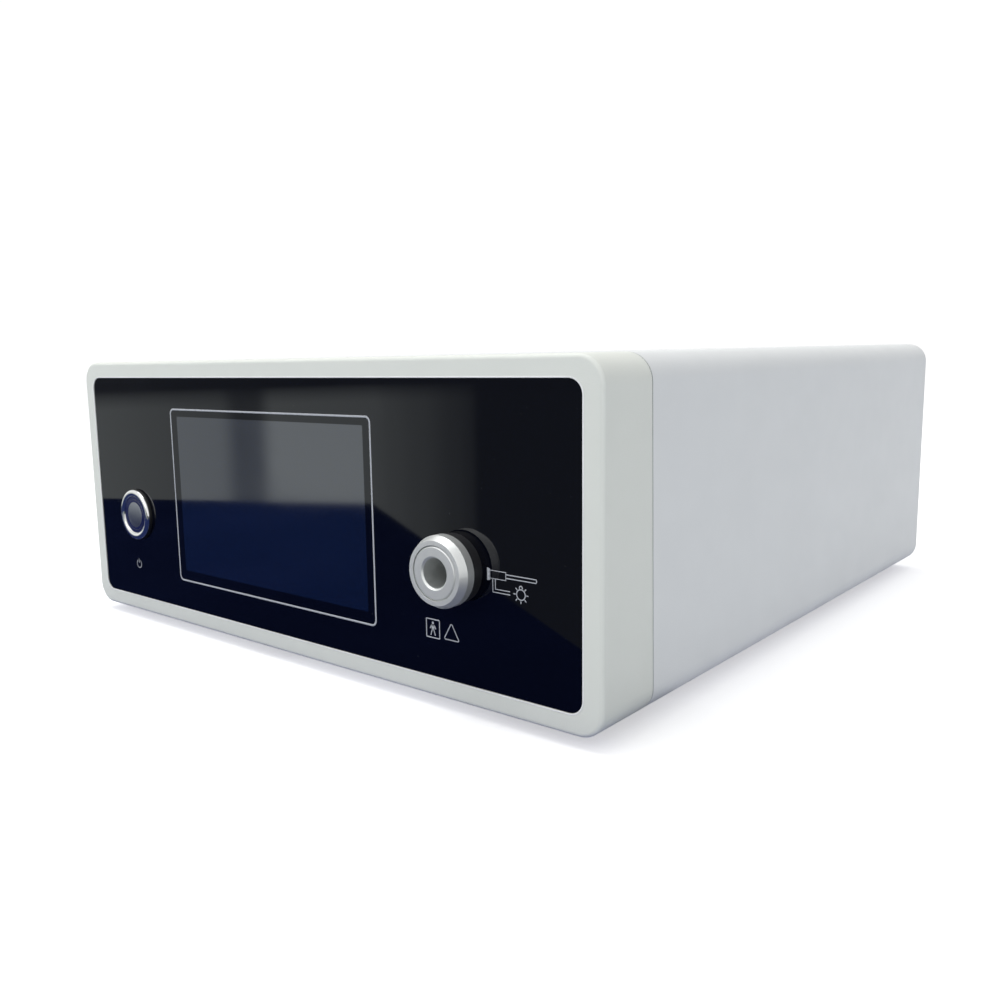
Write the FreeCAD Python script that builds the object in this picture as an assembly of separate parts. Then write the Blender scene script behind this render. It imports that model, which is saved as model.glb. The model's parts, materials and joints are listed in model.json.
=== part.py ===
"""Fibre optic illuminator: a bench-top LED light source with a light guide socket, a touch display and a
fan-cooled lamp, built as separate pieces. Millimetres. X runs across the front, Y from front to back, Z up.

While the pieces are made, y = 0 is the bezel's front face. add() then moves everything by FACE_Y, so that
the origin ends on the table, under the middle of the whole object."""
import FreeCAD, Part
import math
import os

V = FreeCAD.Vector
BACKWARDS, DOWNWARDS, UPWARDS = V(0, 1, 0), V(0, 0, -1), V(0, 0, 1)

# ---- Case: bezel, sleeve, tray and rear panel --------------------------------------------------------
CASE_WIDTH = 300.0
CASE_HEIGHT = 120.4
CASE_DEPTH = 328.0
CASE_CORNER_R = 9.5
FOOT_HEIGHT = 4.0
SLEEVE_WALL = 2.0
SLEEVE_EDGE_ROUND = 0.8
BEZEL_DEPTH_BASE = 30.9  # the seam leans: the bezel is deeper at the base than at the top
BEZEL_DEPTH_TOP = 27.8
BEZEL_EDGE_ROUND = 1.6
SEAM_GAP = 0.4
TONGUE_WALL = 1.6
TONGUE_CLEARANCE = 0.2
TONGUE_REACH = 7.0
LEDGE_THICKNESS = 2.4
LEDGE_WIDTH = 7.0
BOSS_R = 4.0
BOSS_LENGTH = 17.0
BOSS_PILOT_DEPTH = 12.0
BOSS_INSET = 33.0  # the outer bosses, from the case's sides

SHEET = 1.5  # tray sheet
TRAY_SIDE_GAP = 8.0
TRAY_LIFT = 0.3  # tray floor above the bezel's tongue
TRAY_SIDE_HEIGHT = 12.0
TRAY_END_HEIGHT = 12.0
TRAY_END_INSET = 4.0

REAR_PANEL_THICKNESS = 2.0
REAR_PANEL_RECESS = 1.5
REAR_PANEL_CLEARANCE = 0.2
CHANNEL_R = 4.0  # screw channels in the sleeve's upper corners
CHANNEL_INSET = 6.2
CHANNEL_START_GAP = 2.0

FOOT_R = 8.0
FOOT_TIP_R = 7.2
FOOT_INSET_X = 38.0
FOOT_INSET_FRONT = 48.0
FOOT_INSET_REAR = 43.0
FOOT_RECESS_R = 4.3
FOOT_SEAT = 1.4  # rubber left under the screw's head
FOOT_PAD_R = 9.0

INTAKE_INSET = 32.0  # from the case's left side
INTAKE_WIDTH = 82.0
INTAKE_Y0, INTAKE_Y1 = 72.0, 122.0
INTAKE_SLOT_WIDTH = 3.0
INTAKE_PITCH = 8.0

# ---- Screws ------------------------------------------------------------------------------------------
SCREW_CLEARANCE = 0.15  # in a plain hole
THREAD_CLEARANCE = 0.06  # between a smooth shank and its threaded hole
M3 = {"shank_r": 1.5, "head_r": 2.8, "head_h": 1.9, "cross": 3.2}
M4 = {"shank_r": 2.0, "head_r": 3.8, "head_h": 2.4, "cross": 4.4}
for screw in (M3, M4):
    screw["hole_r"] = screw["shank_r"] + SCREW_CLEARANCE
    screw["tapped_r"] = screw["shank_r"] + THREAD_CLEARANCE
CROSS_WIDTH = 0.8
CROSS_DEPTH = 1.0
REAR_SCREW_LENGTH = 8.0
BEZEL_SCREW_LENGTH = 10.0
FAN_SCREW_LENGTH = 14.0
INLET_SCREW_LENGTH = 8.0
HEAD_MARGIN = 0.4
PLATE_SCREW_INSET = 70.0  # the outer screws, from the case's sides
DRILL_PAST = 1.0  # every hole and slot is cut this much past the face it opens on

# ---- Front panel, its plate and the display ----------------------------------------------------------
PANEL_MARGIN_SIDE = 7.8
PANEL_MARGIN_END = 7.5
PANEL_CORNER_R = 5.0
PANEL_THICKNESS = 2.0
PANEL_RECESS = 0.3
PANEL_CLEARANCE = 0.15
TAPE_THICKNESS = 0.3
TAPE_WIDTH = 8.0
PLATE_THICKNESS = 2.0
PLATE_SCREW_BITE = 1.6

DISPLAY_MARGIN_LEFT = 76.95  # from the case's sides, top and underside
DISPLAY_MARGIN_RIGHT = 102.35
DISPLAY_MARGIN_END = 22.3
DISPLAY_DEPTH = 6.0
DISPLAY_CLEARANCE = 0.4
BRACKET_THICKNESS = 1.5
BRACKET_LEG_R = 3.0
BRACKET_LEG_GAP = 0.8
BRACKET_LEG_INSET = 3.9  # from the display's upper and lower edges
BRACKET_BAND = 20.0
PEG_R = 2.5
PEG_LENGTH = 3.2
BOARD_THICKNESS = 1.6
DISPLAY_BOARD_INSET_SIDE = 8.35
DISPLAY_BOARD_INSET_END = 6.9
PEG_INSET = 5.0
DISPLAY_CHIP = (16.0, 16.0, 2.0)  # width, length and height of the parts on the board
DISPLAY_MEMORY = (11.0, 11.0, 1.5)
DISPLAY_CONVERTER = (12.0, 26.0, 5.0)
DISPLAY_PLUG = (12.0, 7.0, 5.0)
DISPLAY_PLUG_SHIFT = 12.0  # its middle, left of the board's middle
BOARD_EDGE = 1.0  # between a connector and the edge of its board

# ---- Push button -------------------------------------------------------------------------------------
BUTTON_INSET = 40.2  # from the case's left side
BUTTON_Z = 48.0  # above the underside of the case
BUTTON_RIM_R = 12.0
BUTTON_RIM_INNER_R = 8.7
BUTTON_PROUD = 2.3
BUTTON_BARREL_R = 10.9
BUTTON_BARREL_LENGTH = 26.0
BUTTON_HOLE_CLEARANCE = 0.15
BUTTON_CAP_R = 7.25
BUTTON_CAP_CLEARANCE = 0.08
BUTTON_CAP_HEIGHT = 6.5
BUTTON_TRAVEL = 2.0
BUTTON_DISH = 0.8
BUTTON_DISH_R = 6.2
BUTTON_SUNK = 0.5  # ring and cap below the rim
BUTTON_STEM_R = 2.0
BUTTON_SPRING_LENGTH = 5.0
BUTTON_SPRING_WIRE = 0.4
BUTTON_SPRING_TURNS = 3.5
BUTTON_FLOOR = 2.0
BUTTON_NUT_FLATS = 27.0
BUTTON_NUT_HEIGHT = 3.0
LIGHT_RING_CLEARANCE = 0.05
CONTACT_BLOCK_R = 9.0
CONTACT_BLOCK_LENGTH = 17.0
TERMINAL_LENGTH = 7.0
TERMINAL_WIDTH = 2.8
TERMINAL_THICKNESS = 0.5
TERMINAL_OFFSET = 4.6  # from the button's axis
RING_CAP_STEP = 1.0  # the light ring is this much shorter than the cap

# ---- Light guide socket ------------------------------------------------------------------------------
SOCKET_INSET = 59.6  # from the case's right side
SOCKET_Z = 48.3  # above the underside of the case
SOCKET_PROUD = 10.5
SOCKET_BORE_R = 5.25
SOCKET_INSERT_R = 9.2
SOCKET_INSERT_CLEARANCE = 0.08
SOCKET_LIP_R = 11.2
SOCKET_RING_R = 12.6
SOCKET_CHAMFER = 2.8
SOCKET_BAND = 3.3
SOCKET_COLLAR_R = 12.2
SOCKET_TUBE_R = 11.0
SOCKET_TUBE_CLEARANCE = 0.1
SOCKET_GROOVE = 0.35
SOCKET_GROOVE_DEPTH = 1.2
SOCKET_REAR = 16.0
SOCKET_NUT_FLATS = 30.0
SOCKET_NUT_HEIGHT = 5.0
BORE_CHAMFER = 0.6
EDGE_CHAMFER = 0.35

# ---- Shutter behind the socket -----------------------------------------------------------------------
SHUTTER_HALF_WIDTH = 15.0
SHUTTER_TOP = 16.0
SHUTTER_BOTTOM = 14.0
SHUTTER_SOCKET_LAP = 3.0
SHUTTER_FRONT_WALL = 1.9
SHUTTER_WALL = 2.0
SHUTTER_CAVITY_HALF = 9.5
SHUTTER_CAVITY_DEPTH = 19.0
SHUTTER_CAVITY_TOP = 12.0
SHUTTER_ENTRY_R = 6.0
SHUTTER_LIGHT_R = 8.0
FLAP_HALF_WIDTH = 7.5
FLAP_DROP = 16.1
FLAP_THICKNESS = 1.2
FLAP_BARREL_R = 2.0
FLAP_GAP = 0.3
FLAP_HINGE_RISE = 8.6
FLAP_PIN_R = 1.0
FLAP_BORE_CLEARANCE = 0.06
PIN_SEAT_CLEARANCE = 0.03
SHUTTER_SPRING_WIRE = 0.25
SHUTTER_SPRING_TURNS = 2.5
SHUTTER_SPRING_GAP = 0.15

# ---- Lamp: bench, lenses, emitter and heat sink ------------------------------------------------------
BENCH_THICKNESS = 3.0
BENCH_HALF_WIDTH = 34.0
BENCH_START = 28.0
PEDESTAL_LENGTH = 11.0
BENCH_SCREW_OFFSET = 28.0
BARREL_R = 14.0
BARREL_BORE_R = 12.0
BARREL_LENGTH = 34.0
BARREL_GAP = 2.0  # behind the shutter housing
BARREL_LIP = 3.0
BARREL_LIP_R = 11.0
BARREL_SEAT_CLEARANCE = 0.05
CLAMP_HALF_WIDTH = 20.0
CLAMP_LENGTH = 12.0
CLAMP_SETBACK = 9.0
CLAMP_RISE = 18.0
LENS_CLEARANCE = 0.08
LENS_EDGE = 2.0
LENS_SAG = 5.0
LENS_RIM = 1.0
LENS_SPACING = 22.0
RETAINER_LENGTH = 3.0
RETAINER_R = 10.5
EMITTER_GAP = 2.0
EMITTER_SIZE = 7.0
EMITTER_HEIGHT = 1.0
STAR_SIZE = 26.0
PAD_SIZE = 24.0
PAD_THICKNESS = 0.5
SINK_WIDTH = 72.0
SINK_HEIGHT = 78.0
SINK_BASE = 8.0
SINK_FIN_LENGTH = 50.0
SINK_FIN_THICKNESS = 2.0
SINK_FINS = 11

# ---- Fan ---------------------------------------------------------------------------------------------
FAN_INSET = 66.0  # from the case's right side
FAN_SIZE = 80.0
FAN_DEPTH = 25.0
FAN_CORNER_R = 4.0
FAN_BORE_R = 38.0
FAN_OPENING_R = 37.6
FAN_PITCH = 71.5
FAN_HUB_R = 18.0
FAN_TIP_GAP = 1.2
FAN_BLADES = 7
FAN_BLADE_CHORD = 24.0
FAN_BLADE_THICKNESS = 1.6
FAN_BLADE_ANGLE = 38.0
FAN_MOUNT_R = 17.0
FAN_MOUNT_THICKNESS = 3.0
FAN_STRUT_WIDTH = 5.0
FAN_BEARING_R = 4.0
FAN_BEARING_LENGTH = 9.0
FAN_SHAFT_R = 1.5
FAN_SHAFT_CLEARANCE = 0.06
FAN_HUB_GAP = 1.0
FAN_HUB_WALL = 2.0
GRILLE_WIRE_R = 0.9
GRILLE_RINGS = (9.0, 16.5, 24.0, 31.5)
GRILLE_EAR_R = 4.6
GRILLE_WELD = 0.6

# ---- Mains inlet with fuse drawer, rocker switch and equipotential stud ------------------------------
INLET_INSET = 54.0  # from the case's left side, for the rocker switch as well
INLET_Z = 36.0  # above the underside of the case
INLET_FLANGE_WIDTH = 50.0
INLET_FLANGE_HEIGHT = 35.0
INLET_FLANGE_THICKNESS = 3.0
INLET_FLANGE_R = 3.0
INLET_BODY_WIDTH = 27.6
INLET_BODY_HEIGHT = 31.4
INLET_BODY_DEPTH = 24.0
INLET_CUTOUT_CLEARANCE = 0.3
INLET_EAR_PITCH = 40.0
CAVITY_WIDTH = 24.4
CAVITY_HEIGHT = 16.8
CAVITY_DEPTH = 17.5
CAVITY_CHAMFER = 4.6
CAVITY_RISE = 6.0  # middle of the plug cavity above the middle of the flange
BLADE_THICKNESS = 2.0
BLADE_WIDTH = 4.0
BLADE_SPACING = 7.0
BLADE_DROP = 2.0
BLADE_SUNK = 3.5  # tips below the flange's face
BLADE_TAIL = 8.0
BLADE_CLEARANCE = 0.05
FUSE_SLOT_WIDTH = 22.4
FUSE_SLOT_HEIGHT = 8.6
FUSE_SLOT_DEPTH = 23.0
FUSE_SLOT_DROP = 9.6  # middle of the drawer slot below the middle of the flange
FUSE_DRAWER_GAP = 0.3
FUSE_FACE_THICKNESS = 1.6
FUSE_FACE_OVERLAP = 1.0
FUSE_R = 2.6
FUSE_LENGTH = 20.0
FUSE_CLEARANCE = 0.15
FUSE_OFFSET = 5.2

ROCKER_Z = 84.0  # above the underside of the case
ROCKER_WIDTH = 18.0
ROCKER_SWING_R = 12.0
ROCKER_TILT = 22.0
ROCKER_GAP = 0.3
ROCKER_FRAME_RIM = 2.2
ROCKER_FRAME_WALL = 1.7
ROCKER_FRAME_THICKNESS = 2.0
ROCKER_FRAME_DEPTH = 20.0
ROCKER_AXIS_DEPTH = 4.0
ROCKER_FACE_RISE = 6.6
ROCKER_BACK = 4.0
ROCKER_TRUNNION_R = 1.5
ROCKER_TRUNNION_CLEARANCE = 0.07
ROCKER_TRUNNION_LENGTH = 1.2

STUD_INSET = 126.0  # from the case's left side
STUD_Z = 34.0  # above the underside of the case
STUD_R = 3.0
STUD_PIN_LENGTH = 11.0
STUD_HEX_FLATS = 13.0
STUD_HEX_HEIGHT = 3.0
STUD_TAIL = 10.0
STUD_NUT_FLATS = 10.0
STUD_NUT_HEIGHT = 5.0
STUD_TIP_CHAMFER = 0.6

# ---- Power supply, control board and leads -----------------------------------------------------------
SUPPLY_INSET = 18.0  # from the case's left side
SUPPLY_WIDTH = 84.0
SUPPLY_REAR_INSET = 44.0  # from the back of the case
SUPPLY_LENGTH = 124.0
SUPPLY_HEIGHT = 36.0
STANDOFF_R = 3.0
SUPPLY_STANDOFF = 5.0
SUPPLY_BOARD_GAP = 1.5  # between the board and the channel's sides
SUPPLY_BOARD_SETBACK = 1.0
SUPPLY_TERMINAL = (32.0, 16.0, 10.0)  # width, length and height, as for each part on a board
TRANSFORMER = (34.0, 30.0, 26.0)
SUPPLY_SPREADER = (3.0, 60.0, 24.0)
MAINS_FILTER = (16.0, 18.0, 14.0)
OUTPUT_CHOKE = (22.0, 14.0, 18.0)
CAPACITOR_R = 9.0
CAPACITOR_HEIGHT = 25.0
BOARD_INSET = 5.0
CONTROL_INSET = 24.0  # from the case's left side
CONTROL_WIDTH = 100.0
CONTROL_Y0 = 62.0
CONTROL_SUPPLY_GAP = 26.0
CONTROL_STANDOFF = 8.0
PROCESSOR = (14.0, 14.0, 2.0)
CONTROL_CHOKE = (16.0, 16.0, 9.0)
CONTROL_SPREADER = (8.0, 20.0, 12.0)
CONTROL_CAPACITOR_R = 5.0
CONTROL_CAPACITOR_HEIGHT = 14.0
LAMP_PLUG = (8.0, 14.0, 8.0)
CONTROL_PLUG = (12.0, 6.0, 8.0)
LAMP_SIDE_PLUG = (4.0, 2.4, 8.0)
MAINS_LEAD_R = 1.2
MAINS_LEAD_RUN = 16.0  # straight out of a terminal
MAINS_LEAD_DROP = 18.0  # straight down into the supply's terminal block
ROCKER_TAB_OFFSET = 5.0
LAMP_LEAD_R = 0.9
LAMP_LEAD_PITCH = 3.0
LAMP_LEAD_RUN = 28.0
DISPLAY_LEAD_R = 2.0
DISPLAY_LEAD_RUN = 14.0

# ---- Worked out from the sizes above -----------------------------------------------------------------
HALF_W = CASE_WIDTH / 2
BASE_Z = FOOT_HEIGHT
TOP_Z = BASE_Z + CASE_HEIGHT
PANEL_FRONT = PANEL_RECESS
PANEL_BACK = PANEL_FRONT + PANEL_THICKNESS
PLATE_FRONT = PANEL_BACK + TAPE_THICKNESS
PLATE_BACK = PLATE_FRONT + PLATE_THICKNESS
LEDGE_BACK = PLATE_BACK + LEDGE_THICKNESS
BOSS_END = LEDGE_BACK + BOSS_LENGTH
TONGUE_INSET = SLEEVE_WALL + TONGUE_CLEARANCE
BEZEL_WALL = TONGUE_INSET + TONGUE_WALL
TONGUE_END = BEZEL_DEPTH_BASE + TONGUE_REACH
REAR_FACE = CASE_DEPTH - REAR_PANEL_RECESS
REAR_PANEL_FRONT = REAR_FACE - REAR_PANEL_THICKNESS
TRAY_BOTTOM = BASE_Z + BEZEL_WALL + TRAY_LIFT
TRAY_TOP = TRAY_BOTTOM + SHEET
TRAY_HALF = HALF_W - SLEEVE_WALL - TRAY_SIDE_GAP
END_SCREW_Z = TRAY_TOP + M3["head_r"] + HEAD_MARGIN
FOOT_PLACES = [(side * (HALF_W - FOOT_INSET_X), y) for side in (-1, 1)
               for y in (FOOT_INSET_FRONT, CASE_DEPTH - FOOT_INSET_REAR)]
CHANNEL_PLACES = [(side * (HALF_W - CHANNEL_INSET), TOP_Z - CHANNEL_INSET) for side in (-1, 1)]
END_SCREW_PLACES = [(share * (HALF_W - BOSS_INSET), END_SCREW_Z) for share in (-1, -1 / 3, 1 / 3, 1)]
INTAKE_X0 = INTAKE_INSET - HALF_W
INTAKE_X1 = INTAKE_X0 + INTAKE_WIDTH

DISPLAY_WIDTH = CASE_WIDTH - DISPLAY_MARGIN_LEFT - DISPLAY_MARGIN_RIGHT
DISPLAY_HEIGHT = CASE_HEIGHT - 2 * DISPLAY_MARGIN_END
DISPLAY_MID = V((DISPLAY_MARGIN_LEFT - DISPLAY_MARGIN_RIGHT) / 2, 0, BASE_Z + CASE_HEIGHT / 2)
DISPLAY_BOARD_WIDTH = DISPLAY_WIDTH - 2 * DISPLAY_BOARD_INSET_SIDE
DISPLAY_BOARD_HEIGHT = DISPLAY_HEIGHT - 2 * DISPLAY_BOARD_INSET_END
DISPLAY_BACK = PANEL_BACK + DISPLAY_DEPTH
BRACKET_BACK = DISPLAY_BACK + BRACKET_THICKNESS
LEG_X = DISPLAY_WIDTH / 2 + BRACKET_LEG_GAP + BRACKET_LEG_R
LEG_Z = DISPLAY_HEIGHT / 2 - BRACKET_LEG_INSET
CORNERS = [(sx, sz) for sx in (-1, 1) for sz in (-1, 1)]
LEG_PLACES = [(DISPLAY_MID.x + sx * LEG_X, DISPLAY_MID.z + sz * LEG_Z) for sx, sz in CORNERS]
DISPLAY_BOARD_FRONT = BRACKET_BACK + PEG_LENGTH

BUTTON = V(BUTTON_INSET - HALF_W, 0, BASE_Z + BUTTON_Z)
SOCKET = V(HALF_W - SOCKET_INSET, 0, BASE_Z + SOCKET_Z)
SOCKET_FRONT = -SOCKET_PROUD
SHUTTER_FRONT = SOCKET_REAR - SHUTTER_SOCKET_LAP
CAVITY_FRONT = SOCKET_REAR + SHUTTER_FRONT_WALL
CAVITY_REAR = CAVITY_FRONT + SHUTTER_CAVITY_DEPTH
SHUTTER_REAR = CAVITY_REAR + SHUTTER_WALL
FLAP_FRONT = CAVITY_FRONT + FLAP_GAP
HINGE = V(SOCKET.x, FLAP_FRONT + FLAP_BARREL_R, SOCKET.z + FLAP_HINGE_RISE)

BENCH_TOP = TRAY_TOP + BENCH_THICKNESS
BARREL_FRONT = SHUTTER_REAR + BARREL_GAP
BARREL_REAR = BARREL_FRONT + BARREL_LENGTH
LENS_R = BARREL_BORE_R - LENS_CLEARANCE
FRONT_LENS_Y = BARREL_FRONT + BARREL_LIP
SPACER_FRONT = FRONT_LENS_Y + LENS_EDGE
SPACER_REAR = SPACER_FRONT + LENS_SPACING
REAR_LENS_Y = SPACER_REAR + LENS_EDGE
EMITTER_FRONT = BARREL_REAR + EMITTER_GAP
STAR_FRONT = EMITTER_FRONT + EMITTER_HEIGHT
STAR_BACK = STAR_FRONT + BOARD_THICKNESS
SINK_FRONT = STAR_BACK + PAD_THICKNESS
SINK_REAR = SINK_FRONT + SINK_BASE + SINK_FIN_LENGTH
CLAMP_FRONT = BARREL_FRONT + CLAMP_SETBACK
BENCH_SCREW_YS = (BENCH_START + PEDESTAL_LENGTH / 2, CLAMP_FRONT + CLAMP_LENGTH / 2)

FAN = V(HALF_W - FAN_INSET, 0, BASE_Z + CASE_HEIGHT / 2)
FAN_FRONT = REAR_PANEL_FRONT - FAN_DEPTH
FAN_SCREW_PLACES = [(FAN.x + sx * FAN_PITCH / 2, FAN.z + sz * FAN_PITCH / 2) for sx, sz in CORNERS]
INLET = V(INLET_INSET - HALF_W, 0, BASE_Z + INLET_Z)
INLET_FACE = REAR_FACE + INLET_FLANGE_THICKNESS
INLET_BODY_FRONT = REAR_PANEL_FRONT - INLET_BODY_DEPTH
PLUG = V(INLET.x, 0, INLET.z + CAVITY_RISE)
BLADE_PLACES = [(PLUG.x, PLUG.z + BLADE_DROP), (PLUG.x - BLADE_SPACING, PLUG.z - BLADE_DROP),
                (PLUG.x + BLADE_SPACING, PLUG.z - BLADE_DROP)]
FUSE_Z = INLET.z - FUSE_SLOT_DROP
ROCKER = V(INLET.x, REAR_FACE + ROCKER_FRAME_THICKNESS - ROCKER_AXIS_DEPTH, BASE_Z + ROCKER_Z)
STUD = V(STUD_INSET - HALF_W, 0, BASE_Z + STUD_Z)
STUD_TIP = REAR_FACE + STUD_HEX_HEIGHT + STUD_PIN_LENGTH
SUPPLY_X0 = SUPPLY_INSET - HALF_W
SUPPLY_X1 = SUPPLY_X0 + SUPPLY_WIDTH
SUPPLY_Y1 = CASE_DEPTH - SUPPLY_REAR_INSET
SUPPLY_Y0 = SUPPLY_Y1 - SUPPLY_LENGTH
CONTROL_X0 = CONTROL_INSET - HALF_W
CONTROL_X1 = CONTROL_X0 + CONTROL_WIDTH
CONTROL_Y1 = SUPPLY_Y0 - CONTROL_SUPPLY_GAP
CONTROL_BOARD_Z = TRAY_TOP + CONTROL_STANDOFF
SUPPLY_BOARD_Z = TRAY_TOP + SHEET + SUPPLY_STANDOFF
FACE_Y = (SOCKET_PROUD - STUD_TIP) / 2  # puts the origin under the middle of the whole length

PIECES = {}


def add(name, shape):
    """Keeps one piece, or one group of like pieces, moved so that the origin is under the middle."""
    moved = shape.copy()
    moved.translate(V(0, FACE_Y, 0))
    PIECES[name] = moved


# ---- Plain shapes ------------------------------------------------------------------------------------
def block(x0, x1, y0, y1, z0, z1):
    return Part.makeBox(x1 - x0, y1 - y0, z1 - z0, V(x0, y0, z0))


def rod_y(x, z, r, y0, y1):
    return Part.makeCylinder(r, y1 - y0, V(x, y0, z), BACKWARDS)


def rod_z(x, y, r, z0, z1):
    return Part.makeCylinder(r, z1 - z0, V(x, y, z0), UPWARDS)


def rod_x(y, z, r, x0, x1):
    return Part.makeCylinder(r, x1 - x0, V(x0, y, z), V(1, 0, 0))


def tube_y(x, z, r_out, r_in, y0, y1):
    return rod_y(x, z, r_out, y0, y1).cut(rod_y(x, z, r_in, y0, y1))


def drill_y(places, r, y0, y1):
    """Holes along Y at the (x, z) places, through all that lies from y0 to y1, as solids to cut away."""
    return [rod_y(x, z, r, y0 - DRILL_PAST, y1 + DRILL_PAST) for x, z in places]


def drill_z(places, r, z0, z1):
    """Holes along Z at the (x, y) places, through all that lies from z0 to z1, as solids to cut away."""
    return [rod_z(x, y, r, z0 - DRILL_PAST, z1 + DRILL_PAST) for x, y in places]


def outline_y(points, y0, y1):
    """A closed outline of (x, z) points, extruded from y0 to y1."""
    corners = [V(x, y0, z) for x, z in points]
    return Part.Face(Part.makePolygon(corners + corners[:1])).extrude(V(0, y1 - y0, 0))


def outline_x(points, x0, x1):
    """A closed outline of (y, z) points, extruded from x0 to x1."""
    corners = [V(x0, y, z) for y, z in points]
    return Part.Face(Part.makePolygon(corners + corners[:1])).extrude(V(x1 - x0, 0, 0))


def rounded_y(x0, x1, z0, z1, r, y0, y1):
    """A rectangle with round corners in the XZ plane, extruded from y0 to y1."""
    edges = []
    corners = [(x1 - r, z1 - r, 0), (x0 + r, z1 - r, 90), (x0 + r, z0 + r, 180), (x1 - r, z0 + r, 270)]
    for k, (cx, cz, start) in enumerate(corners):
        p = [V(cx + r * math.cos(math.radians(start + a)), y0, cz + r * math.sin(math.radians(start + a)))
             for a in (0, 45, 90)]
        edges.append(Part.Arc(p[0], p[1], p[2]).toShape())
        nx, nz, nstart = corners[(k + 1) % 4]
        follow = V(nx + r * math.cos(math.radians(nstart)), y0, nz + r * math.sin(math.radians(nstart)))
        edges.append(Part.LineSegment(p[2], follow).toShape())
    return Part.Face(Part.Wire(edges)).extrude(V(0, y1 - y0, 0))


def hexagon_y(x, z, flats, y0, y1):
    r = flats / math.sqrt(3)
    return outline_y([(x + r * math.cos(math.radians(60 * k)), z + r * math.sin(math.radians(60 * k)))
                      for k in range(6)], y0, y1)


def turned_y(x, z, profile):
    """A turned piece: a closed profile of (radius, y) points, revolved about the Y line through (x, z)."""
    corners = [V(x + r, y, z) for r, y in profile]
    return Part.Face(Part.makePolygon(corners + corners[:1])).revolve(V(x, 0, z), BACKWARDS, 360)


def case_outline(inset, y0, y1):
    """The case's cross-section, drawn in by inset all round, from y0 to y1."""
    return rounded_y(-HALF_W + inset, HALF_W - inset, BASE_Z + inset, TOP_Z - inset,
                     max(CASE_CORNER_R - inset, 1.0), y0, y1)


def panel_outline(inset, y0, y1):
    """The front panel's outline, drawn in by inset (out where negative), from y0 to y1."""
    side, end = PANEL_MARGIN_SIDE + inset, PANEL_MARGIN_END + inset
    return rounded_y(-HALF_W + side, HALF_W - side, BASE_Z + end, TOP_Z - end,
                     max(PANEL_CORNER_R - inset, 1.0), y0, y1)


def beyond_seam(gap, front):
    """Everything in front of the leaning seam, or everything behind it, moved back by gap."""
    margin = CASE_HEIGHT
    slope = (BEZEL_DEPTH_TOP - BEZEL_DEPTH_BASE) / CASE_HEIGHT
    low = (BEZEL_DEPTH_BASE - slope * margin + gap, BASE_Z - margin)
    high = (BEZEL_DEPTH_TOP + slope * margin + gap, TOP_Z + margin)
    far = -CASE_DEPTH if front else 2 * CASE_DEPTH
    return outline_x([low, (far, low[1]), (far, high[1]), high], -CASE_WIDTH, CASE_WIDTH)


def join(shapes):
    whole = shapes[0].fuse(list(shapes[1:])) if len(shapes) > 1 else shapes[0]
    return whole.removeSplitter()


def group(shapes):
    return Part.makeCompound(list(shapes))


def pan_screw(seat, out, size, length):
    """A pan-head screw with a cross recess: its head on the seat point, facing out, and a smooth shank."""
    head = Part.makeCylinder(size["head_r"], size["head_h"])
    rim = [e for e in head.Edges if e.BoundBox.ZMin > size["head_h"] - 0.01]
    head = head.makeFillet(size["head_h"] * 0.4, rim)
    shank = Part.makeCylinder(size["shank_r"], length, V(0, 0, -length))
    half, depth, top = size["cross"] / 2, CROSS_DEPTH, size["head_h"]
    arms = [Part.makeBox(2 * a, 2 * b, depth, V(-a, -b, top - depth))
            for a, b in ((half, CROSS_WIDTH / 2), (CROSS_WIDTH / 2, half))]
    screw = head.fuse(shank).cut(arms)
    screw.Placement = FreeCAD.Placement(seat, FreeCAD.Rotation(UPWARDS, out))
    return screw


def coil(radius, wire, length, turns):
    """A coil spring along Z, as long as given over its wire, whose first turn has its wire at z = 0."""
    rise = length - 2 * wire
    path = Part.makeHelix(rise / turns, rise, radius)
    ring = Part.Wire(Part.Circle(V(radius, 0, 0), V(0, 1, 0), wire).toShape())
    return Part.Wire(path).makePipeShell([ring], True, True)


def lead(points, r):
    """A round lead of radius r: straight runs through the points, joined by the largest arcs that fit."""
    pts = [V(*p) for p in points]
    edges, start, radii = [], pts[0], []
    for before, corner, after in zip(pts, pts[1:], pts[2:]):
        inward, outward = (corner - before).normalize(), (after - corner).normalize()
        turn = inward.getAngle(outward)
        setback = 0.45 * min((corner - before).Length, (after - corner).Length)
        radius = setback / math.tan(turn / 2)
        centre_line = (outward - inward).normalize()
        middle = corner + centre_line * (radius / math.cos(turn / 2) - radius)
        enter, leave = corner - inward * setback, corner + outward * setback
        edges += [Part.LineSegment(start, enter).toShape(), Part.Arc(enter, middle, leave).toShape()]
        start = leave
        radii.append(round(radius, 1))
    print("lead", 2 * r, "mm thick, bent to radii of", radii)
    edges.append(Part.LineSegment(start, pts[-1]).toShape())
    path = Part.Wire(edges)
    ring = Part.Wire(Part.Circle(pts[0], (pts[1] - pts[0]).normalize(), r).toShape())
    return path.makePipeShell([ring], True, False)


# ---- Case --------------------------------------------------------------------------------------------
def plate_screw_places():
    """Screws through the bezel's ledge into the plate: three above, three below and one at each side."""
    mid = LEDGE_WIDTH / 2
    x_side = HALF_W - PANEL_MARGIN_SIDE - mid
    z_low, z_high = BASE_Z + PANEL_MARGIN_END + mid, TOP_Z - PANEL_MARGIN_END - mid
    rows = [(k * (HALF_W - PLATE_SCREW_INSET), z) for z in (z_low, z_high) for k in (-1, 0, 1)]
    return rows + [(-x_side, (z_low + z_high) / 2), (x_side, (z_low + z_high) / 2)]


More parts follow.
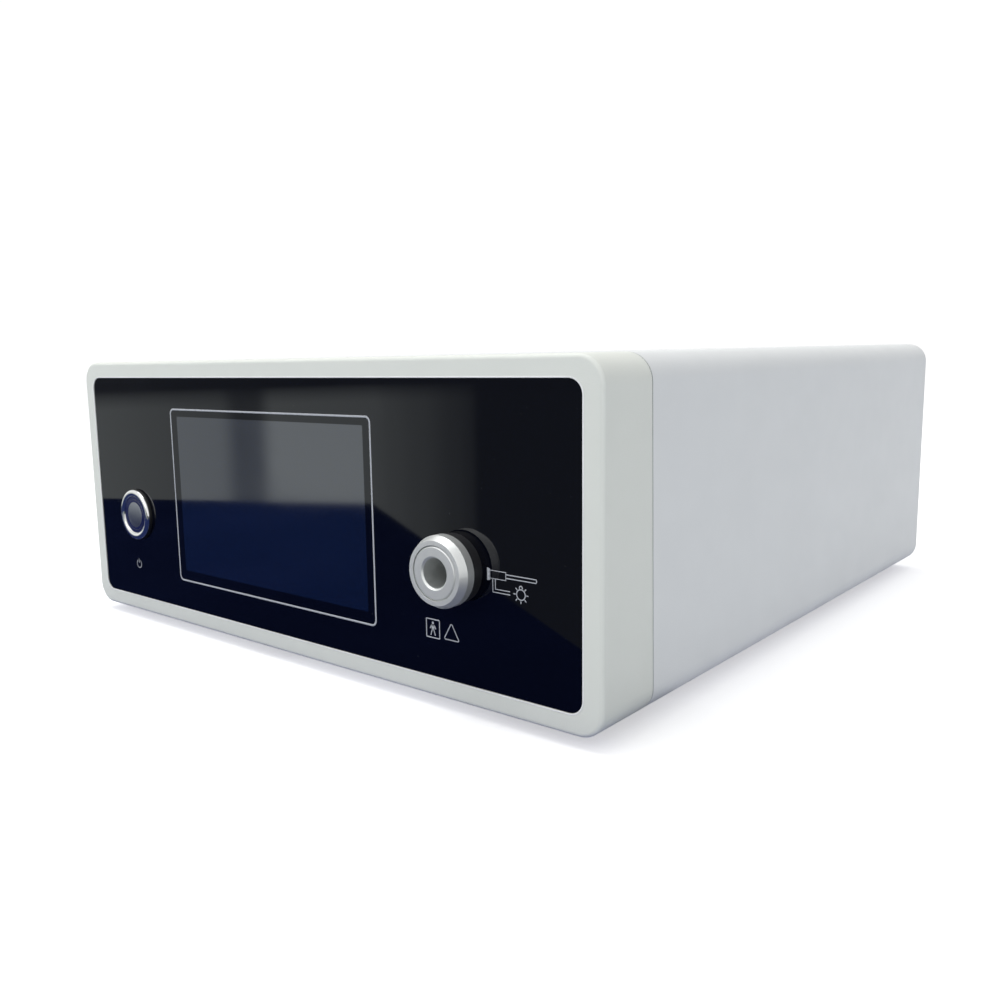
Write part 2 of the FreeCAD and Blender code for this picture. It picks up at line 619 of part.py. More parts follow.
def bezel():
    """Moulded frame: a wall to the leaning seam, a ledge behind the panel, a tongue and four screw bosses."""
    shell = case_outline(0, 0, BEZEL_DEPTH_BASE + DRILL_PAST)
    shell = shell.makeFillet(BEZEL_EDGE_ROUND, [e for e in shell.Edges if e.BoundBox.YMax < 0.001])
    shell = shell.cut(beyond_seam(0, front=False))
    frame = shell.fuse(case_outline(TONGUE_INSET, LEDGE_BACK, TONGUE_END))
    frame = frame.cut([case_outline(BEZEL_WALL, LEDGE_BACK, TONGUE_END + DRILL_PAST),
                       panel_outline(-PANEL_CLEARANCE, -DRILL_PAST, PLATE_BACK),
                       panel_outline(LEDGE_WIDTH, -DRILL_PAST, LEDGE_BACK + DRILL_PAST)])
    bosses = [rod_y(x, z, BOSS_R, LEDGE_BACK, BOSS_END) for x, z in END_SCREW_PLACES]
    pilots = drill_y(END_SCREW_PLACES, M3["tapped_r"], BOSS_END - BOSS_PILOT_DEPTH, BOSS_END)
    holes = drill_y(plate_screw_places(), M3["hole_r"], PLATE_BACK, LEDGE_BACK)
    return join([frame] + bosses).cut(pilots + holes)


def sleeve():
    """A wrap-round shell with a leaning front edge, air slots and foot holes below, screw channels above."""
    shell = case_outline(0, 0, CASE_DEPTH)
    rear_edges = [e for e in shell.Edges if e.BoundBox.YMin > CASE_DEPTH - 0.001]
    shell = shell.makeFillet(SLEEVE_EDGE_ROUND, rear_edges)
    shell = shell.cut([case_outline(SLEEVE_WALL, -DRILL_PAST, CASE_DEPTH + DRILL_PAST),
                       beyond_seam(SEAM_GAP, front=True)])
    channels = [rod_y(x, z, CHANNEL_R, TONGUE_END + CHANNEL_START_GAP, REAR_PANEL_FRONT)
                for x, z in CHANNEL_PLACES]
    threads = drill_y(CHANNEL_PLACES, M3["tapped_r"], REAR_PANEL_FRONT - BOSS_PILOT_DEPTH, REAR_PANEL_FRONT)
    feet = drill_z(FOOT_PLACES, M4["hole_r"], BASE_Z, BASE_Z + SLEEVE_WALL)
    slots = intake_slots(BASE_Z - DRILL_PAST, BASE_Z + SLEEVE_WALL + DRILL_PAST)
    return join([shell] + channels).cut(threads + feet + slots)


def intake_slots(z0, z1):
    """Round-ended slots along Y, in a row across X, as solids to cut away."""
    count = int((INTAKE_X1 - INTAKE_X0) / INTAKE_PITCH)
    r = INTAKE_SLOT_WIDTH / 2
    slots = []
    for k in range(count):
        x = INTAKE_X0 + (k + 0.5) * INTAKE_PITCH
        slots += [block(x - r, x + r, INTAKE_Y0, INTAKE_Y1, z0, z1).fuse(
            [rod_z(x, INTAKE_Y0, r, z0, z1), rod_z(x, INTAKE_Y1, r, z0, z1)])]
    return slots


def tray():
    """Folded sheet on four round pads: a floor, low side walls, and end flanges for the end screws."""
    x_end = TRAY_HALF - TRAY_END_INSET
    side_top, end_top = TRAY_TOP + TRAY_SIDE_HEIGHT, TRAY_TOP + TRAY_END_HEIGHT
    parts = [block(-TRAY_HALF, TRAY_HALF, BOSS_END, REAR_PANEL_FRONT, TRAY_BOTTOM, TRAY_TOP)]
    parts += [block(side, side + SHEET, BOSS_END, REAR_PANEL_FRONT, TRAY_BOTTOM, side_top)
              for side in (-TRAY_HALF, TRAY_HALF - SHEET)]
    parts += [block(-x_end, x_end, end, end + SHEET, TRAY_BOTTOM, end_top)
              for end in (BOSS_END, REAR_PANEL_FRONT - SHEET)]
    parts += [rod_z(x, y, FOOT_PAD_R, BASE_Z + SLEEVE_WALL, TRAY_BOTTOM) for x, y in FOOT_PLACES]
    threads = drill_z(FOOT_PLACES + bench_screw_places(), M4["tapped_r"], BASE_Z + SLEEVE_WALL, TRAY_TOP)
    front = drill_y(END_SCREW_PLACES, M3["hole_r"], BOSS_END, BOSS_END + SHEET)
    rear = drill_y(END_SCREW_PLACES, M3["tapped_r"], REAR_PANEL_FRONT - SHEET, REAR_PANEL_FRONT)
    slots = intake_slots(TRAY_BOTTOM - DRILL_PAST, TRAY_TOP + DRILL_PAST)
    return join(parts).cut(threads + front + rear + slots)


def rear_panel():
    y0, y1 = REAR_PANEL_FRONT, REAR_FACE
    plate = case_outline(SLEEVE_WALL + REAR_PANEL_CLEARANCE, y0, y1)
    gap = INLET_CUTOUT_CLEARANCE
    inlet_half = (INLET_BODY_WIDTH / 2, INLET_BODY_HEIGHT / 2)
    cuts = [block(place.x - w - gap, place.x + w + gap, y0 - DRILL_PAST, y1 + DRILL_PAST,
                  place.z - h - gap, place.z + h + gap)
            for place, (w, h) in ((INLET, inlet_half), (ROCKER, rocker_body_half()))]
    cuts += drill_y([(FAN.x, FAN.z)], FAN_OPENING_R, y0, y1)
    cuts += drill_y([(STUD.x, STUD.z)], STUD_R + SCREW_CLEARANCE, y0, y1)
    cuts += drill_y(FAN_SCREW_PLACES, M4["hole_r"], y0, y1)
    cuts += drill_y(END_SCREW_PLACES + CHANNEL_PLACES, M3["hole_r"], y0, y1)
    cuts += drill_y(inlet_screw_places(), M3["tapped_r"], y0, y1)
    return plate.cut(cuts)


def feet():
    """Rubber feet, a little narrower at the table, each with a recess for its screw."""
    rubber = []
    for x, y in FOOT_PLACES:
        foot = Part.makeCone(FOOT_TIP_R, FOOT_R, FOOT_HEIGHT, V(x, y, 0), UPWARDS)
        recess = rod_z(x, y, FOOT_RECESS_R, -DRILL_PAST, FOOT_HEIGHT - FOOT_SEAT)
        rubber.append(foot.cut([recess] + drill_z([(x, y)], M4["hole_r"], 0, FOOT_HEIGHT)))
    return group(rubber)


def make_case():
    add("front_bezel", bezel())
    add("housing_sleeve", sleeve())
    add("chassis_tray", tray())
    add("rear_panel", rear_panel())
    add("rubber_feet", feet())
    seat = FOOT_HEIGHT - FOOT_SEAT
    add("foot_screws", group(pan_screw(V(x, y, seat), DOWNWARDS, M4, TRAY_TOP - seat)
                             for x, y in FOOT_PLACES))
    add("bezel_screws", group(pan_screw(V(x, BOSS_END + SHEET, z), BACKWARDS, M3, BEZEL_SCREW_LENGTH)
                              for x, z in END_SCREW_PLACES))
    add("rear_panel_screws", group(pan_screw(V(x, REAR_FACE, z), BACKWARDS, M3, REAR_SCREW_LENGTH)
                                   for x, z in END_SCREW_PLACES + CHANNEL_PLACES))


# ---- Front panel, its plate and the display ----------------------------------------------------------
def front_holes(y0, y1):
    """Holes for the push button's barrel and the socket's tube, as solids to cut away."""
    return (drill_y([(BUTTON.x, BUTTON.z)], BUTTON_BARREL_R + BUTTON_HOLE_CLEARANCE, y0, y1)
            + drill_y([(SOCKET.x, SOCKET.z)], SOCKET_TUBE_R + SOCKET_TUBE_CLEARANCE, y0, y1))


def display_block(grow, y0, y1):
    half_w, half_h = DISPLAY_WIDTH / 2 + grow, DISPLAY_HEIGHT / 2 + grow
    return block(DISPLAY_MID.x - half_w, DISPLAY_MID.x + half_w, y0, y1,
                 DISPLAY_MID.z - half_h, DISPLAY_MID.z + half_h)


def panel_plate():
    window = display_block(DISPLAY_CLEARANCE, PLATE_FRONT - DRILL_PAST, PLATE_BACK + DRILL_PAST)
    threads = drill_y(plate_screw_places() + LEG_PLACES, M3["tapped_r"], PLATE_FRONT, PLATE_BACK)
    return panel_outline(0, PLATE_FRONT, PLATE_BACK).cut(
        [window] + front_holes(PLATE_FRONT, PLATE_BACK) + threads)


def peg_places():
    half_w, half_h = DISPLAY_BOARD_WIDTH / 2 - PEG_INSET, DISPLAY_BOARD_HEIGHT / 2 - PEG_INSET
    return [(DISPLAY_MID.x + sx * half_w, DISPLAY_MID.z + sz * half_h) for sx, sz in CORNERS]


def display_bracket():
    """A frame behind the display, on four legs beside it, with four pegs for the display's board."""
    half_w, half_h = LEG_X + BRACKET_LEG_R, LEG_Z + BRACKET_LEG_R
    frame = block(DISPLAY_MID.x - half_w, DISPLAY_MID.x + half_w, DISPLAY_BACK, BRACKET_BACK,
                  DISPLAY_MID.z - half_h, DISPLAY_MID.z + half_h)
    half_w, half_h = half_w - BRACKET_BAND, half_h - BRACKET_BAND
    opening = block(DISPLAY_MID.x - half_w, DISPLAY_MID.x + half_w, DISPLAY_BACK - DRILL_PAST,
                    BRACKET_BACK + DRILL_PAST, DISPLAY_MID.z - half_h, DISPLAY_MID.z + half_h)
    legs = [rod_y(x, z, BRACKET_LEG_R, PLATE_BACK, DISPLAY_BACK) for x, z in LEG_PLACES]
    pegs = [rod_y(x, z, PEG_R, BRACKET_BACK, DISPLAY_BOARD_FRONT) for x, z in peg_places()]
    holes = drill_y(LEG_PLACES, M3["hole_r"], PLATE_BACK, BRACKET_BACK)
    return join([frame.cut(opening)] + legs + pegs).cut(holes)


def display_board():
    """The display's circuit board, with its chips and the connector that the display lead plugs into."""
    half_w, half_h = DISPLAY_BOARD_WIDTH / 2, DISPLAY_BOARD_HEIGHT / 2
    x, z, front = DISPLAY_MID.x, DISPLAY_MID.z, DISPLAY_BOARD_FRONT
    back = front + BOARD_THICKNESS
    parts = [block(x - half_w, x + half_w, front, back, z - half_h, z + half_h), display_connector()]
    places = ((-0.42, 0.06, DISPLAY_CHIP), (0.18, 0.05, DISPLAY_MEMORY), (0.62, 0.03, DISPLAY_CONVERTER))
    for across, up, (width, length, height) in places:
        part_x, part_z = x + across * half_w, z + up * half_h
        parts.append(block(part_x - width / 2, part_x + width / 2, back, back + height,
                           part_z - length / 2, part_z + length / 2))
    return join(parts)


def display_connector():
    back, low = DISPLAY_BOARD_FRONT + BOARD_THICKNESS, DISPLAY_MID.z - DISPLAY_BOARD_HEIGHT / 2
    width, length, height = DISPLAY_PLUG
    middle = DISPLAY_MID.x - DISPLAY_PLUG_SHIFT
    return block(middle - width / 2, middle + width / 2, back, back + height,
                 low + BOARD_EDGE, low + BOARD_EDGE + length)


def panel_plate_screws():
    """All the screws into the plate: eight through the bezel's ledge, four through the bracket's legs."""
    through_ledge = [pan_screw(V(x, LEDGE_BACK, z), BACKWARDS, M3, LEDGE_THICKNESS + PLATE_SCREW_BITE)
                     for x, z in plate_screw_places()]
    leg = BRACKET_BACK - PLATE_BACK
    return through_ledge + [pan_screw(V(x, BRACKET_BACK, z), BACKWARDS, M3, leg + PLATE_SCREW_BITE)
                            for x, z in LEG_PLACES]


def make_front():
    add("front_panel", panel_outline(0, PANEL_FRONT, PANEL_BACK).cut(front_holes(PANEL_FRONT, PANEL_BACK)))
    add("panel_tape", panel_outline(0, PANEL_BACK, PLATE_FRONT).cut(
        panel_outline(TAPE_WIDTH, PANEL_BACK - DRILL_PAST, PLATE_FRONT + DRILL_PAST)))
    add("panel_plate", panel_plate())
    add("panel_plate_screws", group(panel_plate_screws()))
    add("display_module", display_block(0, PANEL_BACK, DISPLAY_BACK))
    add("display_bracket", display_bracket())
    add("display_board", display_board())


# ---- Push button -------------------------------------------------------------------------------------
def make_button():
    """A 22 mm metal push button: a rim with its barrel, a ring that lights up, and a dished, sprung cap."""
    x, z = BUTTON.x, BUTTON.z
    seat = PANEL_FRONT
    rim = PANEL_FRONT - BUTTON_PROUD
    ring_front = rim + BUTTON_SUNK
    ring_back = ring_front + BUTTON_CAP_HEIGHT - RING_CAP_STEP
    floor_front = ring_front + BUTTON_CAP_HEIGHT + BUTTON_SPRING_LENGTH
    floor_back = floor_front + BUTTON_FLOOR
    guide_r = BUTTON_CAP_R + BUTTON_CAP_CLEARANCE
    stem_bore = BUTTON_STEM_R + BUTTON_CAP_CLEARANCE
    block_bore = CONTACT_BLOCK_R + SOCKET_TUBE_CLEARANCE
    chamfer = EDGE_CHAMFER
    body = turned_y(x, z, [(BUTTON_RIM_INNER_R + chamfer, rim), (BUTTON_RIM_R - 2 * chamfer, rim),
                           (BUTTON_RIM_R, rim + 2 * chamfer), (BUTTON_RIM_R, seat), (BUTTON_BARREL_R, seat),
                           (BUTTON_BARREL_R, BUTTON_BARREL_LENGTH), (block_bore, BUTTON_BARREL_LENGTH),
                           (block_bore, floor_back), (stem_bore, floor_back), (stem_bore, floor_front),
                           (guide_r, floor_front), (guide_r, ring_back), (BUTTON_RIM_INNER_R, ring_back),
                           (BUTTON_RIM_INNER_R, rim + chamfer)])
    add("button_body", body)
    ring_r = BUTTON_RIM_INNER_R - LIGHT_RING_CLEARANCE
    add("button_light_ring", tube_y(x, z, ring_r, guide_r, ring_front, ring_back))
    cap_back = ring_front + BUTTON_CAP_HEIGHT
    stem_end = floor_back + BUTTON_TRAVEL
    dish = (BUTTON_DISH_R ** 2 + BUTTON_DISH ** 2) / (2 * BUTTON_DISH)
    cap = join([rod_y(x, z, BUTTON_CAP_R, ring_front, cap_back),
                rod_y(x, z, BUTTON_STEM_R, cap_back, stem_end)])
    add("button_cap", cap.cut(Part.makeSphere(dish, V(x, ring_front + BUTTON_DISH - dish, z))))
    spring = coil((BUTTON_STEM_R + guide_r) / 2, BUTTON_SPRING_WIRE, BUTTON_SPRING_LENGTH,
                  BUTTON_SPRING_TURNS)
    spring.Placement = FreeCAD.Placement(V(x, cap_back + BUTTON_SPRING_WIRE, z),
                                         FreeCAD.Rotation(UPWARDS, BACKWARDS))
    add("button_spring", spring)
    nut = hexagon_y(x, z, BUTTON_NUT_FLATS, PLATE_BACK, PLATE_BACK + BUTTON_NUT_HEIGHT)
    add("button_nut", nut.cut(drill_y([(x, z)], BUTTON_BARREL_R + SOCKET_TUBE_CLEARANCE, PLATE_BACK,
                                      PLATE_BACK + BUTTON_NUT_HEIGHT)))
    block_front = stem_end + BUTTON_TRAVEL + FLAP_GAP
    block_back = block_front + CONTACT_BLOCK_LENGTH
    add("button_contact_block", rod_y(x, z, CONTACT_BLOCK_R, block_front, block_back))
    tails = []
    for k in range(4):
        tail = block(-TERMINAL_WIDTH / 2, TERMINAL_WIDTH / 2, 0, TERMINAL_LENGTH,
                     TERMINAL_OFFSET, TERMINAL_OFFSET + TERMINAL_THICKNESS)
        tail.rotate(V(0, 0, 0), BACKWARDS, 90 * k)
        tail.translate(V(x, block_back, z))
        tails.append(tail)
    add("button_terminals", group(tails))


# ---- Light guide socket and its shutter --------------------------------------------------------------
def make_socket():
    """A turned metal ring on a black collar, held by a nut behind the plate, round the light guide's tube."""
    x, z, front, rear = SOCKET.x, SOCKET.z, SOCKET_FRONT, SOCKET_REAR
    collar_front = front + SOCKET_CHAMFER + SOCKET_BAND
    add("socket_insert", turned_y(x, z, [
        (SOCKET_BORE_R + BORE_CHAMFER, front), (SOCKET_INSERT_R - EDGE_CHAMFER, front),
        (SOCKET_INSERT_R, front + EDGE_CHAMFER), (SOCKET_INSERT_R, rear), (SOCKET_BORE_R, rear),
        (SOCKET_BORE_R, front + BORE_CHAMFER)]))
    bore, groove_r = SOCKET_INSERT_R + SOCKET_INSERT_CLEARANCE, SOCKET_INSERT_R + SOCKET_GROOVE
    add("socket_ring", turned_y(x, z, [
        (groove_r, front), (SOCKET_LIP_R, front), (SOCKET_RING_R, front + SOCKET_CHAMFER),
        (SOCKET_RING_R, collar_front), (SOCKET_TUBE_R, collar_front), (SOCKET_TUBE_R, rear), (bore, rear),
        (bore, front + SOCKET_GROOVE_DEPTH), (groove_r, front + SOCKET_GROOVE_DEPTH)]))
    inner = SOCKET_TUBE_R + SOCKET_TUBE_CLEARANCE
    add("socket_collar", tube_y(x, z, SOCKET_COLLAR_R, inner, collar_front, PANEL_FRONT))
    nut = hexagon_y(x, z, SOCKET_NUT_FLATS, PLATE_BACK, PLATE_BACK + SOCKET_NUT_HEIGHT)
    add("socket_nut", nut.cut(drill_y([(x, z)], inner, PLATE_BACK, PLATE_BACK + SOCKET_NUT_HEIGHT)))


def make_shutter():
    """A box behind the socket with a hanging flap, which the light guide pushes up as it is plugged in."""
    x, z = SOCKET.x, SOCKET.z
    case = block(x - SHUTTER_HALF_WIDTH, x + SHUTTER_HALF_WIDTH, SHUTTER_FRONT, SHUTTER_REAR,
                 z - SHUTTER_BOTTOM, z + SHUTTER_TOP)
    half, pin_end = SHUTTER_CAVITY_HALF, SHUTTER_HALF_WIDTH
    cuts = [rod_y(x, z, SOCKET_TUBE_R + SOCKET_TUBE_CLEARANCE, SHUTTER_FRONT - DRILL_PAST, SOCKET_REAR),
            rod_y(x, z, SHUTTER_ENTRY_R, SOCKET_REAR - DRILL_PAST, CAVITY_FRONT + DRILL_PAST),
            block(x - half, x + half, CAVITY_FRONT, CAVITY_REAR, z - half, z + SHUTTER_CAVITY_TOP),
            rod_y(x, z, SHUTTER_LIGHT_R, CAVITY_REAR - DRILL_PAST, SHUTTER_REAR + DRILL_PAST),
            rod_x(HINGE.y, HINGE.z, FLAP_PIN_R + PIN_SEAT_CLEARANCE, x - pin_end - DRILL_PAST,
                  x + pin_end + DRILL_PAST)]
    add("shutter_housing", case.cut(cuts))
    leaf = block(x - FLAP_HALF_WIDTH, x + FLAP_HALF_WIDTH, FLAP_FRONT, FLAP_FRONT + FLAP_THICKNESS,
                 HINGE.z - FLAP_DROP, HINGE.z)
    barrel = rod_x(HINGE.y, HINGE.z, FLAP_BARREL_R, x - FLAP_HALF_WIDTH, x + FLAP_HALF_WIDTH)
    bore = rod_x(HINGE.y, HINGE.z, FLAP_PIN_R + FLAP_BORE_CLEARANCE, x - FLAP_HALF_WIDTH - DRILL_PAST,
                 x + FLAP_HALF_WIDTH + DRILL_PAST)
    add("shutter_flap", join([leaf, barrel]).cut(bore))
    add("shutter_pin", rod_x(HINGE.y, HINGE.z, FLAP_PIN_R, x - pin_end, x + pin_end))
    start = FLAP_HALF_WIDTH + SHUTTER_SPRING_GAP + SHUTTER_SPRING_WIRE
    spring = coil(FLAP_PIN_R + FLAP_GAP + SHUTTER_SPRING_WIRE, SHUTTER_SPRING_WIRE,
                  half - FLAP_HALF_WIDTH - 2 * SHUTTER_SPRING_GAP, SHUTTER_SPRING_TURNS)
    spring.Placement = FreeCAD.Placement(V(x + start, HINGE.y, HINGE.z),
                                         FreeCAD.Rotation(UPWARDS, V(1, 0, 0)))
    add("shutter_spring", spring)


# ---- Lamp --------------------------------------------------------------------------------------------
def bench_screw_places():
    return [(SOCKET.x + side * BENCH_SCREW_OFFSET, y) for side in (-1, 1) for y in BENCH_SCREW_YS]


def lens(flat_y, way):
    """A plano-convex lens with a flat rim: flat face at flat_y, dome towards way (1 back, -1 front)."""
    x, z, dome_r = SOCKET.x, SOCKET.z, LENS_R - LENS_RIM
    edge = flat_y + way * LENS_EDGE
    ball = (dome_r ** 2 + LENS_SAG ** 2) / (2 * LENS_SAG)
    half_way = math.asin(dome_r / ball) / 2
    on_dome = V(x + ball * math.sin(half_way), edge + way * (LENS_SAG - ball * (1 - math.cos(half_way))), z)
    tip = V(x, edge + way * LENS_SAG, z)
    corners = [tip, V(x, flat_y, z), V(x + LENS_R, flat_y, z), V(x + LENS_R, edge, z),
               V(x + dome_r, edge, z)]
    outline = [Part.LineSegment(p, q).toShape() for p, q in zip(corners, corners[1:])]
    outline.append(Part.Arc(corners[-1], on_dome, tip).toShape())
    return Part.Face(Part.Wire(outline)).revolve(V(x, 0, z), BACKWARDS, 360)


def heat_sink():
    x0, x1 = SOCKET.x - SINK_WIDTH / 2, SOCKET.x + SINK_WIDTH / 2
    base_back = SINK_FRONT + SINK_BASE
    pitch = (SINK_WIDTH - SINK_FIN_THICKNESS) / (SINK_FINS - 1)
    fins = [block(x0 + k * pitch, x0 + k * pitch + SINK_FIN_THICKNESS, base_back, SINK_REAR,
                  BENCH_TOP, BENCH_TOP + SINK_HEIGHT) for k in range(SINK_FINS)]
    return join([block(x0, x1, SINK_FRONT, base_back, BENCH_TOP, BENCH_TOP + SINK_HEIGHT)] + fins)


def lamp_connector():
    """The small plug block on the lamp board's left edge, which the lamp leads run into."""
    x = SOCKET.x - STAR_SIZE / 2
    width, depth, height = LAMP_SIDE_PLUG
    return block(x, x + width, STAR_FRONT - depth, STAR_FRONT, SOCKET.z - height / 2, SOCKET.z + height / 2)


def make_lamp():
    x, z = SOCKET.x, SOCKET.z
    plate = block(x - BENCH_HALF_WIDTH, x + BENCH_HALF_WIDTH, BENCH_START, SINK_REAR, TRAY_TOP, BENCH_TOP)
    pedestal = block(x - SHUTTER_HALF_WIDTH, x + SHUTTER_HALF_WIDTH,
                     BENCH_START, BENCH_START + PEDESTAL_LENGTH, BENCH_TOP, z - SHUTTER_BOTTOM)
    clamp_back = CLAMP_FRONT + CLAMP_LENGTH
    clamp = block(x - CLAMP_HALF_WIDTH, x + CLAMP_HALF_WIDTH, CLAMP_FRONT, clamp_back,
                  BENCH_TOP, z + CLAMP_RISE)
    seat = drill_y([(x, z)], BARREL_R + BARREL_SEAT_CLEARANCE, CLAMP_FRONT, clamp_back)
    holes = drill_z(bench_screw_places(), M4["hole_r"], TRAY_TOP, BENCH_TOP)
    add("optic_bench", join([plate, pedestal, clamp]).cut(seat + holes))
    bite = BENCH_THICKNESS + SHEET + TRAY_LIFT
    add("optic_bench_screws", group(pan_screw(V(sx, sy, BENCH_TOP), UPWARDS, M4, bite)
                                    for sx, sy in bench_screw_places()))
    add("lens_barrel", turned_y(x, z, [
        (BARREL_LIP_R, BARREL_FRONT), (BARREL_R, BARREL_FRONT), (BARREL_R, BARREL_REAR),
        (BARREL_BORE_R, BARREL_REAR), (BARREL_BORE_R, FRONT_LENS_Y), (BARREL_LIP_R, FRONT_LENS_Y)]))
    add("front_lens", lens(FRONT_LENS_Y, 1))
    add("lens_spacer", tube_y(x, z, LENS_R, BARREL_LIP_R, SPACER_FRONT, SPACER_REAR))
    add("rear_lens", lens(REAR_LENS_Y, -1))
    add("lens_retainer", tube_y(x, z, LENS_R, RETAINER_R, REAR_LENS_Y, REAR_LENS_Y + RETAINER_LENGTH))
    half = EMITTER_SIZE / 2
    emitter = block(x - half, x + half, EMITTER_FRONT, STAR_FRONT, z - half, z + half)
    half = STAR_SIZE / 2
    star = block(x - half, x + half, STAR_FRONT, STAR_BACK, z - half, z + half)
    add("lamp_board", join([star, emitter, lamp_connector()]))
    half = PAD_SIZE / 2
    add("thermal_pad", block(x - half, x + half, STAR_BACK, SINK_FRONT, z - half, z + half))
    add("heat_sink", heat_sink())


# ---- Fan ---------------------------------------------------------------------------------------------
def fan_frame():
    """A square frame with a round bore, and the motor's mount on four struts at its inner side."""
    x, z, half = FAN.x, FAN.z, FAN_SIZE / 2
    mount_back = FAN_FRONT + FAN_MOUNT_THICKNESS
    shell = rounded_y(x - half, x + half, z - half, z + half, FAN_CORNER_R, FAN_FRONT, REAR_PANEL_FRONT)
    shell = shell.cut(rod_y(x, z, FAN_BORE_R, FAN_FRONT - DRILL_PAST, REAR_PANEL_FRONT + DRILL_PAST))
    reach, w = FAN_BORE_R + 0.5, FAN_STRUT_WIDTH / 2
    struts = [block(x - reach, x + reach, FAN_FRONT, mount_back, z - w, z + w),
              block(x - w, x + w, FAN_FRONT, mount_back, z - reach, z + reach)]
    motor = [rod_y(x, z, FAN_MOUNT_R, FAN_FRONT, mount_back),
             rod_y(x, z, FAN_BEARING_R, mount_back, mount_back + FAN_BEARING_LENGTH)]
    holes = drill_y(FAN_SCREW_PLACES, M4["tapped_r"], FAN_FRONT, REAR_PANEL_FRONT)
    bearing = rod_y(x, z, FAN_SHAFT_R + FAN_SHAFT_CLEARANCE, FAN_FRONT + FAN_HUB_GAP,
                    mount_back + FAN_BEARING_LENGTH + DRILL_PAST)
    return join([shell] + struts + motor).cut(holes + [bearing])


def fan_rotor():
    """A cup-shaped hub on a thin shaft, with pitched blades round it."""
    x, z = FAN.x, FAN.z
    hub_front = FAN_FRONT + FAN_MOUNT_THICKNESS + FAN_HUB_GAP
    hub_back = REAR_PANEL_FRONT - FAN_HUB_GAP
    cup_floor = hub_back - FAN_HUB_WALL
    hub = rod_y(x, z, FAN_HUB_R, hub_front, hub_back)
    hub = hub.cut(rod_y(x, z, FAN_HUB_R - FAN_HUB_WALL, hub_front - DRILL_PAST, cup_floor))
    shaft = rod_y(x, z, FAN_SHAFT_R, FAN_FRONT + 2 * FAN_HUB_GAP, cup_floor + FAN_HUB_WALL / 2)
    tip_r, root_r = FAN_BORE_R - FAN_TIP_GAP, FAN_HUB_R - FAN_HUB_WALL / 2
    ring = tube_y(x, z, tip_r, root_r, FAN_FRONT, REAR_PANEL_FRONT)
    chord, thick = FAN_BLADE_CHORD / 2, FAN_BLADE_THICKNESS / 2
    blades = []
    for k in range(FAN_BLADES):
        blade = block(-chord, chord, -thick, thick, 0, FAN_BORE_R)
        blade.rotate(V(0, 0, 0), UPWARDS, FAN_BLADE_ANGLE)
        blade.rotate(V(0, 0, 0), BACKWARDS, 360.0 * k / FAN_BLADES)
        blade.translate(V(x, (hub_front + hub_back) / 2, z))
        blades.append(blade.common(ring))
    return join([hub, shaft] + blades)


def fan_grille():
    """A wire finger guard: four spokes from screw ears, with wire rings welded over them."""
    x, z, r = FAN.x, FAN.z, GRILLE_WIRE_R
    spoke_y = REAR_FACE + r
    ring_y = spoke_y + 2 * r - GRILLE_WELD
    reach = FAN_PITCH / math.sqrt(2) - GRILLE_EAR_R + r
    start = GRILLE_RINGS[0] - 2 * r
    parts = [Part.makeTorus(ring, r, V(x, ring_y, z), BACKWARDS) for ring in GRILLE_RINGS]
    for sx in (-1, 1):
        for sz in (-1, 1):
            way = V(sx, 0, sz).normalize()
            parts.append(Part.makeCylinder(r, reach - start, V(x, spoke_y, z) + way * start, way))
    parts += [rod_y(sx, sz, GRILLE_EAR_R, REAR_FACE, REAR_FACE + 2 * r) for sx, sz in FAN_SCREW_PLACES]
    return parts[0].fuse(parts[1:]).cut(drill_y(FAN_SCREW_PLACES, M4["hole_r"], REAR_FACE, REAR_FACE + 2 * r))


def make_fan():
    add("fan_frame", fan_frame())
    add("fan_rotor", fan_rotor())
    add("fan_grille", fan_grille())
    seat = REAR_FACE + 2 * GRILLE_WIRE_R
    add("fan_screws", group(pan_screw(V(x, seat, z), BACKWARDS, M4, FAN_SCREW_LENGTH)
                            for x, z in FAN_SCREW_PLACES))


# ---- Rear panel fittings -----------------------------------------------------------------------------
def inlet_screw_places():
    return [(INLET.x + side * INLET_EAR_PITCH / 2, INLET.z) for side in (-1, 1)]


def inlet_body():
    """Flanged appliance inlet: a plug cavity with two cut corners above, and the fuse drawer's slot below."""
    half_w, half_h = INLET_FLANGE_WIDTH / 2, INLET_FLANGE_HEIGHT / 2
    flange = rounded_y(INLET.x - half_w, INLET.x + half_w, INLET.z - half_h, INLET.z + half_h,
                       INLET_FLANGE_R, REAR_FACE, INLET_FACE)
    half_w, half_h = INLET_BODY_WIDTH / 2, INLET_BODY_HEIGHT / 2
    box = block(INLET.x - half_w, INLET.x + half_w, INLET_BODY_FRONT, REAR_FACE,
                INLET.z - half_h, INLET.z + half_h)
    w, h, c = CAVITY_WIDTH / 2, CAVITY_HEIGHT / 2, CAVITY_CHAMFER
    cavity_floor = INLET_FACE - CAVITY_DEPTH
    outline = [(-w, -h), (w, -h), (w, h - c), (w - c, h), (c - w, h), (-w, h - c)]
    cuts = [outline_y([(PLUG.x + x, PLUG.z + z) for x, z in outline], cavity_floor, INLET_FACE + DRILL_PAST)]
    w, h = FUSE_SLOT_WIDTH / 2, FUSE_SLOT_HEIGHT / 2
    cuts.append(block(INLET.x - w, INLET.x + w, INLET_FACE - FUSE_SLOT_DEPTH, INLET_FACE + DRILL_PAST,
                      FUSE_Z - h, FUSE_Z + h))
    w, h = BLADE_THICKNESS / 2 + BLADE_CLEARANCE, BLADE_WIDTH / 2 + BLADE_CLEARANCE
    cuts += [block(x - w, x + w, INLET_BODY_FRONT - DRILL_PAST, cavity_floor + DRILL_PAST, z - h, z + h)
             for x, z in BLADE_PLACES]
    cuts += drill_y(inlet_screw_places(), M3["hole_r"], REAR_FACE, INLET_FACE)
    return join([flange, box]).cut(cuts)


